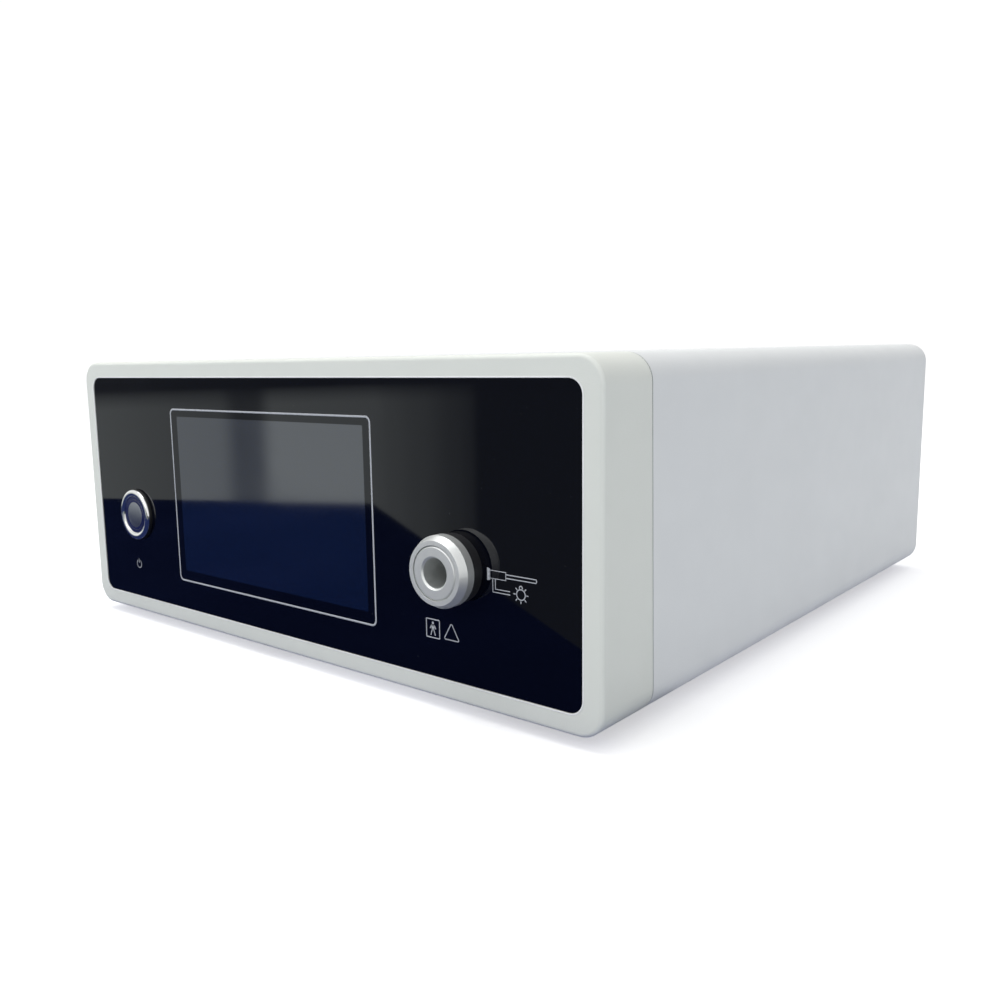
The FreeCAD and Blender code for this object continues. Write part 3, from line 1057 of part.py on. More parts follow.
def fuse_drawer():
    """A drawer with a face plate and two open troughs for glass fuses."""
    w, h = FUSE_SLOT_WIDTH / 2, FUSE_SLOT_HEIGHT / 2
    lap = FUSE_FACE_OVERLAP
    face = block(INLET.x - w - lap, INLET.x + w + lap, INLET_FACE, INLET_FACE + FUSE_FACE_THICKNESS,
                 FUSE_Z - h - lap, FUSE_Z + h + lap)
    w, h = w - FUSE_DRAWER_GAP, h - FUSE_DRAWER_GAP
    box = block(INLET.x - w, INLET.x + w, INLET_FACE - FUSE_SLOT_DEPTH + FUSE_DRAWER_GAP, INLET_FACE,
                FUSE_Z - h, FUSE_Z + h)
    cuts = []
    r = FUSE_R + FUSE_CLEARANCE
    for x, y0, y1 in fuse_places(FUSE_CLEARANCE):
        cuts += [rod_y(x, FUSE_Z, r, y0, y1), block(x - r, x + r, y0, y1, FUSE_Z, FUSE_Z + h + DRILL_PAST)]
    return join([face, box]).cut(cuts)


def fuse_places(grow):
    """For each fuse: its x, and where it starts and ends along Y, longer by grow at each end."""
    middle = INLET_FACE - FUSE_SLOT_DEPTH / 2
    y0, y1 = middle - FUSE_LENGTH / 2 - grow, middle + FUSE_LENGTH / 2 + grow
    return [(INLET.x + side * FUSE_OFFSET, y0, y1) for side in (-1, 1)]


def rocker_body_half():
    """Half the width and height of the rocker frame's body, as it passes through the rear panel."""
    around = ROCKER_GAP + ROCKER_FRAME_WALL
    return ROCKER_WIDTH / 2 + around, ROCKER_SWING_R + around


def rocker_frame():
    half_w, half_h = rocker_body_half()
    box = block(ROCKER.x - half_w, ROCKER.x + half_w, REAR_FACE - ROCKER_FRAME_DEPTH, REAR_FACE,
                ROCKER.z - half_h, ROCKER.z + half_h)
    rim = ROCKER_FRAME_RIM
    flange = rounded_y(ROCKER.x - half_w - rim, ROCKER.x + half_w + rim, ROCKER.z - half_h - rim,
                       ROCKER.z + half_h + rim, rim, REAR_FACE, REAR_FACE + ROCKER_FRAME_THICKNESS)
    w, h = ROCKER_WIDTH / 2 + ROCKER_GAP, ROCKER_SWING_R + ROCKER_GAP
    well = block(ROCKER.x - w, ROCKER.x + w, REAR_FACE - ROCKER_FRAME_DEPTH + ROCKER_FRAME_WALL,
                 REAR_FACE + ROCKER_FRAME_THICKNESS + DRILL_PAST, ROCKER.z - h, ROCKER.z + h)
    reach = ROCKER_WIDTH / 2 + ROCKER_TRUNNION_LENGTH + ROCKER_GAP
    pivot = rod_x(ROCKER.y, ROCKER.z, ROCKER_TRUNNION_R + ROCKER_TRUNNION_CLEARANCE,
                  ROCKER.x - reach, ROCKER.x + reach)
    return join([box, flange]).cut([well, pivot])


def rocker():
    """A rocker with a shallow V face, resting with its upper half pressed in."""
    r, half_tilt = ROCKER_SWING_R, math.radians(ROCKER_TILT / 2)
    z_face = math.sqrt(r ** 2 - ROCKER_FACE_RISE ** 2)
    z_back = math.sqrt(r ** 2 - ROCKER_BACK ** 2)
    dip = ROCKER_FACE_RISE - z_face * math.tan(half_tilt)
    x0 = ROCKER.x - ROCKER_WIDTH / 2

    def point(y, z):
        return V(x0, ROCKER.y + y, ROCKER.z + z)

    outline = Part.Wire([
        Part.LineSegment(point(ROCKER_FACE_RISE, z_face), point(dip, 0)).toShape(),
        Part.LineSegment(point(dip, 0), point(ROCKER_FACE_RISE, -z_face)).toShape(),
        Part.Arc(point(ROCKER_FACE_RISE, -z_face), point(0, -r), point(-ROCKER_BACK, -z_back)).toShape(),
        Part.LineSegment(point(-ROCKER_BACK, -z_back), point(-ROCKER_BACK, z_back)).toShape(),
        Part.Arc(point(-ROCKER_BACK, z_back), point(0, r), point(ROCKER_FACE_RISE, z_face)).toShape()])
    body = Part.Face(outline).extrude(V(ROCKER_WIDTH, 0, 0))
    reach = ROCKER_WIDTH / 2 + ROCKER_TRUNNION_LENGTH
    paddle = join([body, rod_x(ROCKER.y, ROCKER.z, ROCKER_TRUNNION_R, ROCKER.x - reach, ROCKER.x + reach)])
    paddle.rotate(ROCKER, V(1, 0, 0), ROCKER_TILT / 2)
    return paddle


def stud():
    """Equipotential pin: a hexagon on the rear panel, the smooth pin outside, and a tail inside."""
    x, z, c = STUD.x, STUD.z, STUD_TIP_CHAMFER
    pin = turned_y(x, z, [(0, REAR_FACE - STUD_TAIL), (STUD_R, REAR_FACE - STUD_TAIL), (STUD_R, STUD_TIP - c),
                          (STUD_R - c, STUD_TIP), (0, STUD_TIP)])
    return join([pin, hexagon_y(x, z, STUD_HEX_FLATS, REAR_FACE, REAR_FACE + STUD_HEX_HEIGHT)])


def make_rear_fittings():
    add("inlet_body", inlet_body())
    w, h = BLADE_THICKNESS / 2, BLADE_WIDTH / 2
    tail, tip = INLET_BODY_FRONT - BLADE_TAIL, INLET_FACE - BLADE_SUNK
    add("inlet_blades", group(block(x - w, x + w, tail, tip, z - h, z + h) for x, z in BLADE_PLACES))
    add("inlet_screws", group(pan_screw(V(x, INLET_FACE, z), BACKWARDS, M3, INLET_SCREW_LENGTH)
                              for x, z in inlet_screw_places()))
    add("fuse_drawer", fuse_drawer())
    add("fuses", group(rod_y(x, FUSE_Z, FUSE_R, y0, y1) for x, y0, y1 in fuse_places(0)))
    add("rocker_frame", rocker_frame())
    add("mains_rocker", rocker())
    add("equipotential_stud", stud())
    nut = hexagon_y(STUD.x, STUD.z, STUD_NUT_FLATS, REAR_PANEL_FRONT - STUD_NUT_HEIGHT, REAR_PANEL_FRONT)
    add("stud_nut", nut.cut(drill_y([(STUD.x, STUD.z)], STUD_R + THREAD_CLEARANCE,
                                    REAR_PANEL_FRONT - STUD_NUT_HEIGHT, REAR_PANEL_FRONT)))


# ---- Power supply, control board and leads -----------------------------------------------------------
def corner_places(x0, x1, y0, y1, inset):
    return [(x, y) for x in (x0 + inset, x1 - inset) for y in (y0 + inset, y1 - inset)]


def on_card(card, across, along, size, low):
    """A part on a flat board, its middle at the given shares of the board's width and length."""
    x0, x1, y0, y1 = card
    width, length, height = size
    x, y = x0 + across * (x1 - x0), y0 + along * (y1 - y0)
    return block(x - width / 2, x + width / 2, y - length / 2, y + length / 2, low, low + height)


def can_on_card(card, across, along, r, height, low):
    """A capacitor that stands on a flat board."""
    x0, x1, y0, y1 = card
    return rod_z(x0 + across * (x1 - x0), y0 + along * (y1 - y0), r, low, low + height)


def supply_card():
    side = SHEET + SUPPLY_BOARD_GAP
    return (SUPPLY_X0 + side, SUPPLY_X1 - side,
            SUPPLY_Y0 + SUPPLY_BOARD_SETBACK, SUPPLY_Y1 - SUPPLY_BOARD_SETBACK)


def supply_terminal():
    """The power supply's screw terminal block, at the rear of its board."""
    x0, x1, y0, y1 = supply_card()
    length = SUPPLY_TERMINAL[1]
    return on_card((x0, x1, y1 - length, y1), 0.46, 0.5, SUPPLY_TERMINAL, SUPPLY_BOARD_Z + BOARD_THICKNESS)


def make_supply():
    """A mains power supply: an open sheet channel, and its board on standoffs with the large parts on it."""
    floor_top = TRAY_TOP + SHEET
    channel = [block(SUPPLY_X0, SUPPLY_X1, SUPPLY_Y0, SUPPLY_Y1, TRAY_TOP, floor_top)]
    channel += [block(x, x + SHEET, SUPPLY_Y0, SUPPLY_Y1, TRAY_TOP, TRAY_TOP + SUPPLY_HEIGHT)
                for x in (SUPPLY_X0, SUPPLY_X1 - SHEET)]
    card = supply_card()
    channel += [rod_z(x, y, STANDOFF_R, floor_top, SUPPLY_BOARD_Z)
                for x, y in corner_places(*card, BOARD_INSET)]
    add("power_supply_channel", join(channel))
    top = SUPPLY_BOARD_Z + BOARD_THICKNESS
    parts = [block(*card, SUPPLY_BOARD_Z, top), supply_terminal()]
    parts += [on_card(card, across, along, size, top)
              for across, along, size in ((0.5, 0.467, TRANSFORMER), (0.045, 0.41, SUPPLY_SPREADER),
                                          (0.833, 0.172, MAINS_FILTER), (0.462, 0.746, OUTPUT_CHOKE))]
    parts += [can_on_card(card, across, 0.18, CAPACITOR_R, CAPACITOR_HEIGHT, top)
              for across in (0.32, 0.577)]
    add("power_supply_board", join(parts))


def control_card():
    return CONTROL_X0, CONTROL_X1, CONTROL_Y0, CONTROL_Y1


def lamp_plug():
    """The connector on the control board's right edge, which the lamp leads run out of."""
    edge = (CONTROL_X1 - LAMP_PLUG[0], CONTROL_X1, CONTROL_Y0, CONTROL_Y1)
    return on_card(edge, 0.5, 0.514, LAMP_PLUG, CONTROL_BOARD_Z + BOARD_THICKNESS)


def display_plug():
    """The connector on the control board's front edge, which the display lead runs into."""
    edge = (CONTROL_X0, CONTROL_X1, CONTROL_Y0, CONTROL_Y0 + CONTROL_PLUG[1])
    return on_card(edge, 0.82, 0.5, CONTROL_PLUG, CONTROL_BOARD_Z + BOARD_THICKNESS)


def make_control():
    """The control board on four standoffs, with its processor, choke, heat spreader and connectors."""
    top = CONTROL_BOARD_Z + BOARD_THICKNESS
    card = control_card()
    parts = [block(*card, CONTROL_BOARD_Z, top), lamp_plug(), display_plug()]
    parts += [on_card(card, across, along, size, top)
              for across, along, size in ((0.31, 0.403, PROCESSOR), (0.58, 0.722, CONTROL_CHOKE),
                                          (0.16, 0.75, CONTROL_SPREADER))]
    parts.append(can_on_card(card, 0.78, 0.833, CONTROL_CAPACITOR_R, CONTROL_CAPACITOR_HEIGHT, top))
    add("control_board", join(parts))
    add("board_standoffs", group(rod_z(x, y, STANDOFF_R, TRAY_TOP, CONTROL_BOARD_Z)
                                 for x, y in corner_places(*card, BOARD_INSET)))


def make_leads():
    """Mains leads from the inlet by way of the rocker, lamp leads, and the display's lead."""
    tail_y = INLET_BODY_FRONT - BLADE_TAIL
    tap = supply_terminal().BoundBox
    (live_x, live_z), (neutral_x, neutral_z) = BLADE_PLACES[1], BLADE_PLACES[2]
    back = REAR_FACE - ROCKER_FRAME_DEPTH
    run, tab = MAINS_LEAD_RUN, ROCKER_TAB_OFFSET
    live = [(live_x, tail_y, live_z), (live_x, tail_y - run, live_z),
            (live_x - 1, tail_y - run - 1, live_z + 1.5 * run),
            (ROCKER.x - tab, back - run, ROCKER.z), (ROCKER.x - tab, back, ROCKER.z)]
    tap_x, tap_y = ROCKER.x + 1, tap.YMin + 4
    switched = [(ROCKER.x + tab, back, ROCKER.z), (ROCKER.x + tab, back - run, ROCKER.z),
                (ROCKER.x + tab - 1, back - 2 * run, ROCKER.z - MAINS_LEAD_DROP),
                (tap_x, tap_y, tap.ZMax + MAINS_LEAD_DROP), (tap_x, tap_y, tap.ZMax)]
    drop_y = (tap.YMin + tap.YMax) / 2
    neutral = [(neutral_x, tail_y, neutral_z), (neutral_x, tail_y + 0.65 * (drop_y - tail_y), neutral_z),
               (neutral_x, drop_y, neutral_z - run / 2), (neutral_x, drop_y, tap.ZMax)]
    add("mains_leads", group(lead(points, MAINS_LEAD_R) for points in (live, switched, neutral)))
    start, end = lamp_plug().BoundBox, lamp_connector().BoundBox
    leads = []
    for side in (-0.5, 0.5):
        dz = side * LAMP_LEAD_PITCH
        y0, z0 = (start.YMin + start.YMax) / 2, (start.ZMin + start.ZMax) / 2 + dz
        y1, z1 = (end.YMin + end.YMax) / 2, (end.ZMin + end.ZMax) / 2 + dz
        leads.append(lead([(start.XMax, y0, z0), (start.XMax + LAMP_LEAD_RUN, y0, z0),
                           (end.XMin - LAMP_LEAD_RUN, y1, z1), (end.XMin, y1, z1)], LAMP_LEAD_R))
    add("lamp_leads", group(leads))
    start, end = display_connector().BoundBox, display_plug().BoundBox
    x0, z0 = (start.XMin + start.XMax) / 2, (start.ZMin + start.ZMax) / 2
    x1, z1 = (end.XMin + end.XMax) / 2, (end.ZMin + end.ZMax) / 2
    run = DISPLAY_LEAD_RUN
    add("display_lead", lead([(x0, start.YMax, z0), (x0, start.YMax + run, z0), (x1, end.YMin - run, z1),
                              (x1, end.YMin, z1)], DISPLAY_LEAD_R))


def main():
    for make in (make_case, make_front, make_button, make_socket, make_shutter, make_lamp, make_fan,
                 make_rear_fittings, make_supply, make_control, make_leads):
        make()
    os.makedirs("parts", exist_ok=True)
    for name, shape in sorted(PIECES.items()):
        if not shape.isValid() or shape.Volume <= 0:
            print("CHECK", name, shape.isValid(), shape.Volume)
        shape.exportStep("parts/" + name + ".step")
    print(len(PIECES), "pieces written; bezel face at y =", round(FACE_Y, 3))


main()
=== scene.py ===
# %% [markdown]
# # A fibre optic illuminator
# This lesson dresses a measured model of a bench-top light source: a white case with a glossy black
# front, a touch screen, a push button with a light ring, and a metal socket for a light guide. The
# measured pieces come in first and never move. All that is added afterwards sits on them, in metres,
# in the same frame: X runs across the front, Y from the front to the back, and Z up. Sizes on the
# object are written in millimetres, and times MM they are metres.

# %% Load the measured model
import json
import math

import bmesh
import bpy
from mathutils import Matrix, Vector


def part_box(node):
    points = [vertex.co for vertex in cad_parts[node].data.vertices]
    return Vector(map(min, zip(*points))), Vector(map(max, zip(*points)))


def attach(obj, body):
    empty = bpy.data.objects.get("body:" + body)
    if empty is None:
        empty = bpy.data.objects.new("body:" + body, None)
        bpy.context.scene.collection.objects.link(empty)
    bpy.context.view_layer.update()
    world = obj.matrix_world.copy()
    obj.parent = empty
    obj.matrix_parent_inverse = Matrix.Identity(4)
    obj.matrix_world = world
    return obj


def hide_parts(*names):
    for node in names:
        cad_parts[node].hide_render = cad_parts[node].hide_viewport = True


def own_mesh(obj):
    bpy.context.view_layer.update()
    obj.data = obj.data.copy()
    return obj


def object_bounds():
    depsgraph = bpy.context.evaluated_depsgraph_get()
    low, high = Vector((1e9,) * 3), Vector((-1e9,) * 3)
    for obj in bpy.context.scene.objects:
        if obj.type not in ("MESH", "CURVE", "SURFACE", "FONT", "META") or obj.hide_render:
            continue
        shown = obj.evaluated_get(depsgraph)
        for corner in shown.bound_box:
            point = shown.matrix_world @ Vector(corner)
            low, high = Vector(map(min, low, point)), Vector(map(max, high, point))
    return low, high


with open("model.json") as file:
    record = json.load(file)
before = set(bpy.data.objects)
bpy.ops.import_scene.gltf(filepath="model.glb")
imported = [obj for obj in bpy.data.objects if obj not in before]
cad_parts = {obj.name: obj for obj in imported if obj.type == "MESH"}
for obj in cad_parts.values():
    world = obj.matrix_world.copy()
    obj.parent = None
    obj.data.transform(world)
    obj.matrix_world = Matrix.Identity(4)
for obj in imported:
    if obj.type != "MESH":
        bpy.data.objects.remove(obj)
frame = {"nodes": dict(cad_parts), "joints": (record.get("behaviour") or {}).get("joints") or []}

MM = 0.001
cad_low, cad_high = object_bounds()
joints = {joint["name"]: joint for joint in frame["joints"]}
print("measured model, mm:", [round((b - a) / MM, 1) for a, b in zip(cad_low, cad_high)])


def box_mm(node):
    """The lowest and the highest corner of a measured piece, in millimetres."""
    low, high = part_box(node)
    return low / MM, high / MM


def placed(name, data):
    """A new object in the scene, made of a mesh, a camera or a lamp."""
    made = bpy.data.objects.new(name, data)
    bpy.context.scene.collection.objects.link(made)
    return made

# %% [markdown]
# ## The camera
# The camera stands low, to the right of the front, and looks a little down, so that the front and
# the long right side both show. Its direction is given as a heading, a tilt and a small roll, and
# the rotation is built from those three angles. A small shift keeps the object left of the middle.

# %% Stand the camera
CAMERA_AT = Vector((300.37, -407.46, 125.17)) * MM
HEADING, TILT, ROLL = (math.radians(angle) for angle in (-41.66, 8.72, -1.31))
LENS, SHIFT = 34.44, 0.06
NEAREST_SEEN, FARTHEST_SEEN = 0.01, 50  # metres

forward = Vector((math.sin(HEADING) * math.cos(TILT),
                  math.cos(HEADING) * math.cos(TILT),
                  -math.sin(TILT)))
level = Vector((math.cos(HEADING), -math.sin(HEADING), 0))
above = level.cross(forward)
right = level * math.cos(ROLL) + above * math.sin(ROLL)
up = above * math.cos(ROLL) - level * math.sin(ROLL)

camera = placed("camera", bpy.data.cameras.new("camera"))
facing = Matrix((right, up, -forward)).transposed().to_4x4()
camera.matrix_world = Matrix.Translation(CAMERA_AT) @ facing
camera.data.lens, camera.data.shift_x = LENS, SHIFT
camera.data.clip_start, camera.data.clip_end = NEAREST_SEEN, FARTHEST_SEEN
bpy.context.scene.camera = camera
bpy.context.scene.view_settings.view_transform = "Standard"
print("camera looks along", [round(v, 3) for v in forward])

# %% [markdown]
# ## Helpers for meshes
# Every new piece is made of points that are already where they belong, so its object can stay at
# the origin. One helper turns points and faces into an object, merges what coincides and turns the
# faces outwards.

# %% Make an object from points and faces
WELD = 1e-7
SMOOTH_BELOW = math.radians(35)


def closed_up(shape, mesh):
    """Merges what coincides, turns the faces outwards, and writes the shape into a mesh."""
    bmesh.ops.remove_doubles(shape, verts=shape.verts, dist=WELD)
    bmesh.ops.recalc_face_normals(shape, faces=shape.faces)
    shape.to_mesh(mesh)
    shape.free()


def new_piece(name, points, faces, material, smooth=True):
    mesh = bpy.data.meshes.new(name)
    mesh.from_pydata(points, [], faces)
    shape = bmesh.new()
    shape.from_mesh(mesh)
    closed_up(shape, mesh)
    mesh.materials.append(material)
    if smooth:
        mesh.shade_smooth()
        mesh.set_sharp_from_angle(angle=SMOOTH_BELOW)
    return placed(name, mesh)


def finished(made, body):
    """Lets a piece ride on its body, and prints the body and how many faces the piece has."""
    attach(made, body)
    print(made.name, "rides on", body, "with", len(made.data.polygons), "faces")

# %% [markdown]
# ## Helpers for finishes
# A real surface is never one flat colour. Each finish starts from one Principled shader whose even
# values are set on the shader itself, and then gets fine grain, a relief and lighter sharp edges from
# a few small helpers; in the white coats that lighter edge is partly wear and partly a painted
# highlight. All patterns are placed by Object coordinates, which measure the object itself, so their
# scale is real.

# %% Start a finish
def finish(name, colour, roughness, metallic=0.0, ior=1.5):
    """A material with one Principled shader that holds the even values."""
    material = bpy.data.materials.new(name)
    material.use_nodes = True
    shader = material.node_tree.nodes["Principled BSDF"]
    shader.inputs["Base Color"].default_value = (*colour, 1)
    shader.inputs["Roughness"].default_value = roughness
    shader.inputs["Metallic"].default_value = metallic
    shader.inputs["IOR"].default_value = ior
    return material, material.node_tree, shader


def wire(tree, source, target):
    tree.links.new(source, target)


def scaled(colour, factor, extra=0.0):
    """A colour made darker or lighter."""
    return tuple(min(1, c * factor + extra) for c in colour)

# %% Place and make grain
def on_object(tree, stretch=(1, 1, 1), at=(0, 0, 0)):
    """Object coordinates, stretched and moved; a large stretch makes a pattern short along its axis."""
    coordinates = tree.nodes.new("ShaderNodeTexCoord")
    mapping = tree.nodes.new("ShaderNodeMapping")
    mapping.vector_type = "TEXTURE"
    mapping.inputs["Scale"].default_value = [1 / s for s in stretch]
    mapping.inputs["Location"].default_value = at
    wire(tree, coordinates.outputs["Object"], mapping.inputs["Vector"])
    return mapping.outputs["Vector"]


def grain(tree, size_mm, detail=2.0, stretch=(1, 1, 1)):
    """Noise whose lumps are about size_mm across."""
    noise = tree.nodes.new("ShaderNodeTexNoise")
    noise.inputs["Scale"].default_value = 1 / (size_mm * MM)
    noise.inputs["Detail"].default_value = detail
    wire(tree, on_object(tree, stretch), noise.inputs["Vector"])
    return noise.outputs["Fac"]


def spread(tree, value, low, high, start=0.3, end=0.7):
    """Turns a range from start to end into one from low to high, and stops at both ends."""
    scale = tree.nodes.new("ShaderNodeMapRange")
    for key, number in (("From Min", start), ("From Max", end), ("To Min", low), ("To Max", high)):
        scale.inputs[key].default_value = number
    wire(tree, value, scale.inputs["Value"])
    return scale.outputs["Result"]


def blend_colours(tree, share, first, second):
    """Mixes two colours, or two sockets, by a share from 0 to 1."""
    mix = tree.nodes.new("ShaderNodeMix")
    mix.data_type = "RGBA"
    wire(tree, share, mix.inputs["Factor"])
    sockets = [s for s in mix.inputs if s.type == "RGBA"]
    for value, socket in ((first, sockets[0]), (second, sockets[1])):
        if isinstance(value, bpy.types.NodeSocket):
            wire(tree, value, socket)
        else:
            socket.default_value = (*value, 1)
    return [s for s in mix.outputs if s.type == "RGBA"][0]


def mottled(tree, pattern, first, second):
    """Two colours, mixed by a grain pattern."""
    return blend_colours(tree, spread(tree, pattern, 0, 1), first, second)

# %% Combine values
def calculated(tree, operation, first, second):
    node = tree.nodes.new("ShaderNodeMath")
    node.operation = operation
    wire(tree, first, node.inputs[0])
    wire(tree, second, node.inputs[1])
    return node.outputs["Value"]


def highest(tree, *values):
    total = values[0]
    for value in values[1:]:
        total = calculated(tree, "MAXIMUM", total, value)
    return total


def vector_calculated(tree, operation, *vectors):
    """The node of a vector calculation, whose result is its Value or its Vector."""
    node = tree.nodes.new("ShaderNodeVectorMath")
    node.operation = operation
    for vector, socket in zip(vectors, node.inputs):
        wire(tree, vector, socket)
    return node


def ramp(tree, share, stops, interpolation="LINEAR"):
    """A colour that follows a share through stops, each a place from 0 to 1 and a colour."""
    node = tree.nodes.new("ShaderNodeValToRGB")
    node.color_ramp.interpolation = interpolation
    elements = node.color_ramp.elements
    while len(elements) > 1:
        elements.remove(elements[0])
    elements[0].position = stops[0][0]
    for place, _ in stops[1:]:
        elements.new(place)
    for element, (_, colour) in zip(elements, stops):
        element.color = (*colour, 1)
    wire(tree, share, node.inputs["Fac"])
    return node.outputs["Color"]

# %% Give relief and soft edges
BEVEL_SAMPLES = 4


def soft_normal(tree, radius_mm):
    """A normal that rounds sharp edges by a radius, as a cutter, a mould or paint leaves them."""
    bevel = tree.nodes.new("ShaderNodeBevel")
    bevel.samples = BEVEL_SAMPLES
    bevel.inputs["Radius"].default_value = radius_mm * MM
    return bevel.outputs["Normal"]


def relief(tree, height, depth_mm, normal=None):
    bump = tree.nodes.new("ShaderNodeBump")
    bump.inputs["Strength"].default_value = 1.0
    bump.inputs["Distance"].default_value = depth_mm * MM
    wire(tree, height, bump.inputs["Height"])
    if normal is not None:
        wire(tree, normal, bump.inputs["Normal"])
    return bump.outputs["Normal"]


def sharp_edges(tree, radius_mm):
    """1 on the sharp edges and 0 on open faces: where the rounded normal leaves the true one."""
    geometry, rounded = tree.nodes.new("ShaderNodeNewGeometry"), soft_normal(tree, radius_mm)
    match = vector_calculated(tree, "DOT_PRODUCT", rounded, geometry.outputs["Normal"])
    return spread(tree, match.outputs["Value"], 1.0, 0.0, 0.75, 0.99)

# %% [markdown]
# ## The white case
# The sleeve is bent sheet with a satin powder coat: a soft orange peel about half a millimetre
# across. The front bezel is moulded in a plastic with a fine sparked texture, a little warmer and
# duller, and the back is a plate with a coarser grey coat. All get very faint large patches,
# because no real paint is perfectly even, and a lighter colour on their sharp edges, partly as wear
# and partly as a painted highlight. The rounded front edge of the bezel is handled most, so it is a
# little glossier all the way round, and its colour is lightened there as a painted highlight.

# %% Where the surface turns away from the front
def rounded_front(tree):
    """1 on the rounding between a face that looks forwards and one that looks sideways, up or down."""
    geometry = tree.nodes.new("ShaderNodeNewGeometry")
    axes = tree.nodes.new("ShaderNodeSeparateXYZ")
    wire(tree, geometry.outputs["Normal"], axes.inputs["Vector"])
    forwards = spread(tree, axes.outputs["Y"], 0.0, 1.0, 0.0, -1.0)
    black, white = (0, 0, 0), (1, 1, 1)
    return ramp(tree, forwards, [(0.3, black), (0.6, white), (0.9, white), (0.99, black)])

# %% Powder coat and moulded white
PATCH_MM, CLOUD_MM = 60, 9
PATCH_SHADE, EDGE_WEAR_AND_HIGHLIGHT = 0.975, 1.05
DULLNESS_SWING, FRONT_GLOSS = 0.06, 0.15


def satin_coat(name, colour, grain_mm, depth_mm, roughness, edge_mm):
    material, tree, shader = finish(name, colour, roughness)
    patches = mottled(tree, grain(tree, PATCH_MM, 3), scaled(colour, PATCH_SHADE), colour)
    # Lighter colour on sharp edges (partly wear, partly painted highlight) and on the rounded front
    # edge (painted highlight).
    edges = highest(tree, sharp_edges(tree, edge_mm), rounded_front(tree))
    wear_and_highlight_colour = blend_colours(tree, edges, patches, scaled(colour, EDGE_WEAR_AND_HIGHLIGHT))
    wire(tree, wear_and_highlight_colour, shader.inputs["Base Color"])
    clouds = grain(tree, CLOUD_MM, 3)
    dullness = spread(tree, clouds, roughness - DULLNESS_SWING, roughness + DULLNESS_SWING)
    rubbed = spread(tree, rounded_front(tree), 0.0, FRONT_GLOSS, 0, 1)
    wire(tree, calculated(tree, "SUBTRACT", dullness, rubbed), shader.inputs["Roughness"])
    peel = relief(tree, grain(tree, grain_mm, 3), depth_mm, soft_normal(tree, edge_mm))
    wire(tree, peel, shader.inputs["Normal"])
    return material


finishes = {}
finishes["white_paint"] = satin_coat(
    "powder_coat_white", (0.775, 0.795, 0.80), 0.7, 0.03, 0.5, 0.4)
finishes["white_moulding"] = satin_coat(
    "sparked_white_plastic", (0.785, 0.81, 0.76), 0.35, 0.05, 0.55, 0.3)
finishes["grey_paint"] = satin_coat(
    "powder_coat_grey", (0.52, 0.54, 0.55), 0.9, 0.05, 0.48, 0.3)
print("coats:", sorted(finishes))

# %% [markdown]
# ## The black front and its screen
# The front is one sheet of clear acrylic, printed black behind. It is very smooth, so almost all
# that shows is what it reflects. The screen behind it reflects once more from its own glass, so it
# looks brighter and bluer than the black round it. It is made as a thin pane on the panel with its
# own, stronger glass finish.

# %% Black acrylic and screen glass
WIPE_MM, WIPE_STRETCH = 22, (0.35, 1, 1)
SPECK_MM, SPECK_COLOUR = 1.1, (0.03, 0.032, 0.036)
WAVINESS_MM, WAVINESS_DEPTH = 45, 0.02


def polished_sheet(name, colour, ior, roughness):
    material, tree, shader = finish(name, colour, roughness, ior=ior)
    wipes = grain(tree, WIPE_MM, 4, WIPE_STRETCH)
    wire(tree, spread(tree, wipes, roughness * 0.6, roughness * 1.7), shader.inputs["Roughness"])
    specks = spread(tree, grain(tree, SPECK_MM, 0), 0.0, 1.0, 0.87, 0.90)
    wire(tree, blend_colours(tree, specks, colour, SPECK_COLOUR), shader.inputs["Base Color"])
    wire(tree, relief(tree, grain(tree, WAVINESS_MM, 1), WAVINESS_DEPTH), shader.inputs["Normal"])
    return material


finishes["panel_glass"] = polished_sheet("black_acrylic", (0.0012, 0.0018, 0.0055), 1.47, 0.035)
finishes["display_glass"] = polished_sheet("screen_glass", (0.0015, 0.0056, 0.023), 2.1, 0.05)
print("with polished sheets:", len(finishes), "finishes")

# %% [markdown]
# ## Metals
# The socket is turned aluminium with a satin, bead-blasted surface, the button's rim is polished
# chrome, and its cap has the fine rings that a brush leaves on a spinning disc. Screws, sheet and
# springs are plainer, but each has its own grain. Ring patterns come from a wave texture centred on
# the part's own axis.

# %% Grain that runs straight, and rings round an axis
RING_SPACING = 0.314  # of a wave texture whose scale is 1
BLAST_MM = 0.25


def straight_metal(name, colour, roughness, grain_mm, stretch, depth_mm=0.01, edge_mm=0.12, shade=0.88):
    """Metal with a grain; a stretch below 1 draws the grain out along that axis."""
    material, tree, shader = finish(name, colour, roughness, metallic=1.0)
    lines = grain(tree, grain_mm, 3, stretch)
    wire(tree, mottled(tree, lines, scaled(colour, shade), colour), shader.inputs["Base Color"])
    wire(tree, spread(tree, lines, roughness * 0.85, roughness * 1.2), shader.inputs["Roughness"])
    wire(tree, relief(tree, lines, depth_mm, soft_normal(tree, edge_mm)), shader.inputs["Normal"])
    return material


def rings(tree, centre, pitch_mm, wander=0.6):
    """Fine rings round an axis along Y through a centre."""
    wave = tree.nodes.new("ShaderNodeTexWave")
    wave.wave_type, wave.rings_direction = "RINGS", "Y"
    wave.inputs["Scale"].default_value = RING_SPACING / (pitch_mm * MM)
    wave.inputs["Distortion"].default_value = wander
    wave.inputs["Detail"].default_value = 2
    wire(tree, on_object(tree, at=centre), wave.inputs["Vector"])
    return wave.outputs["Fac"]


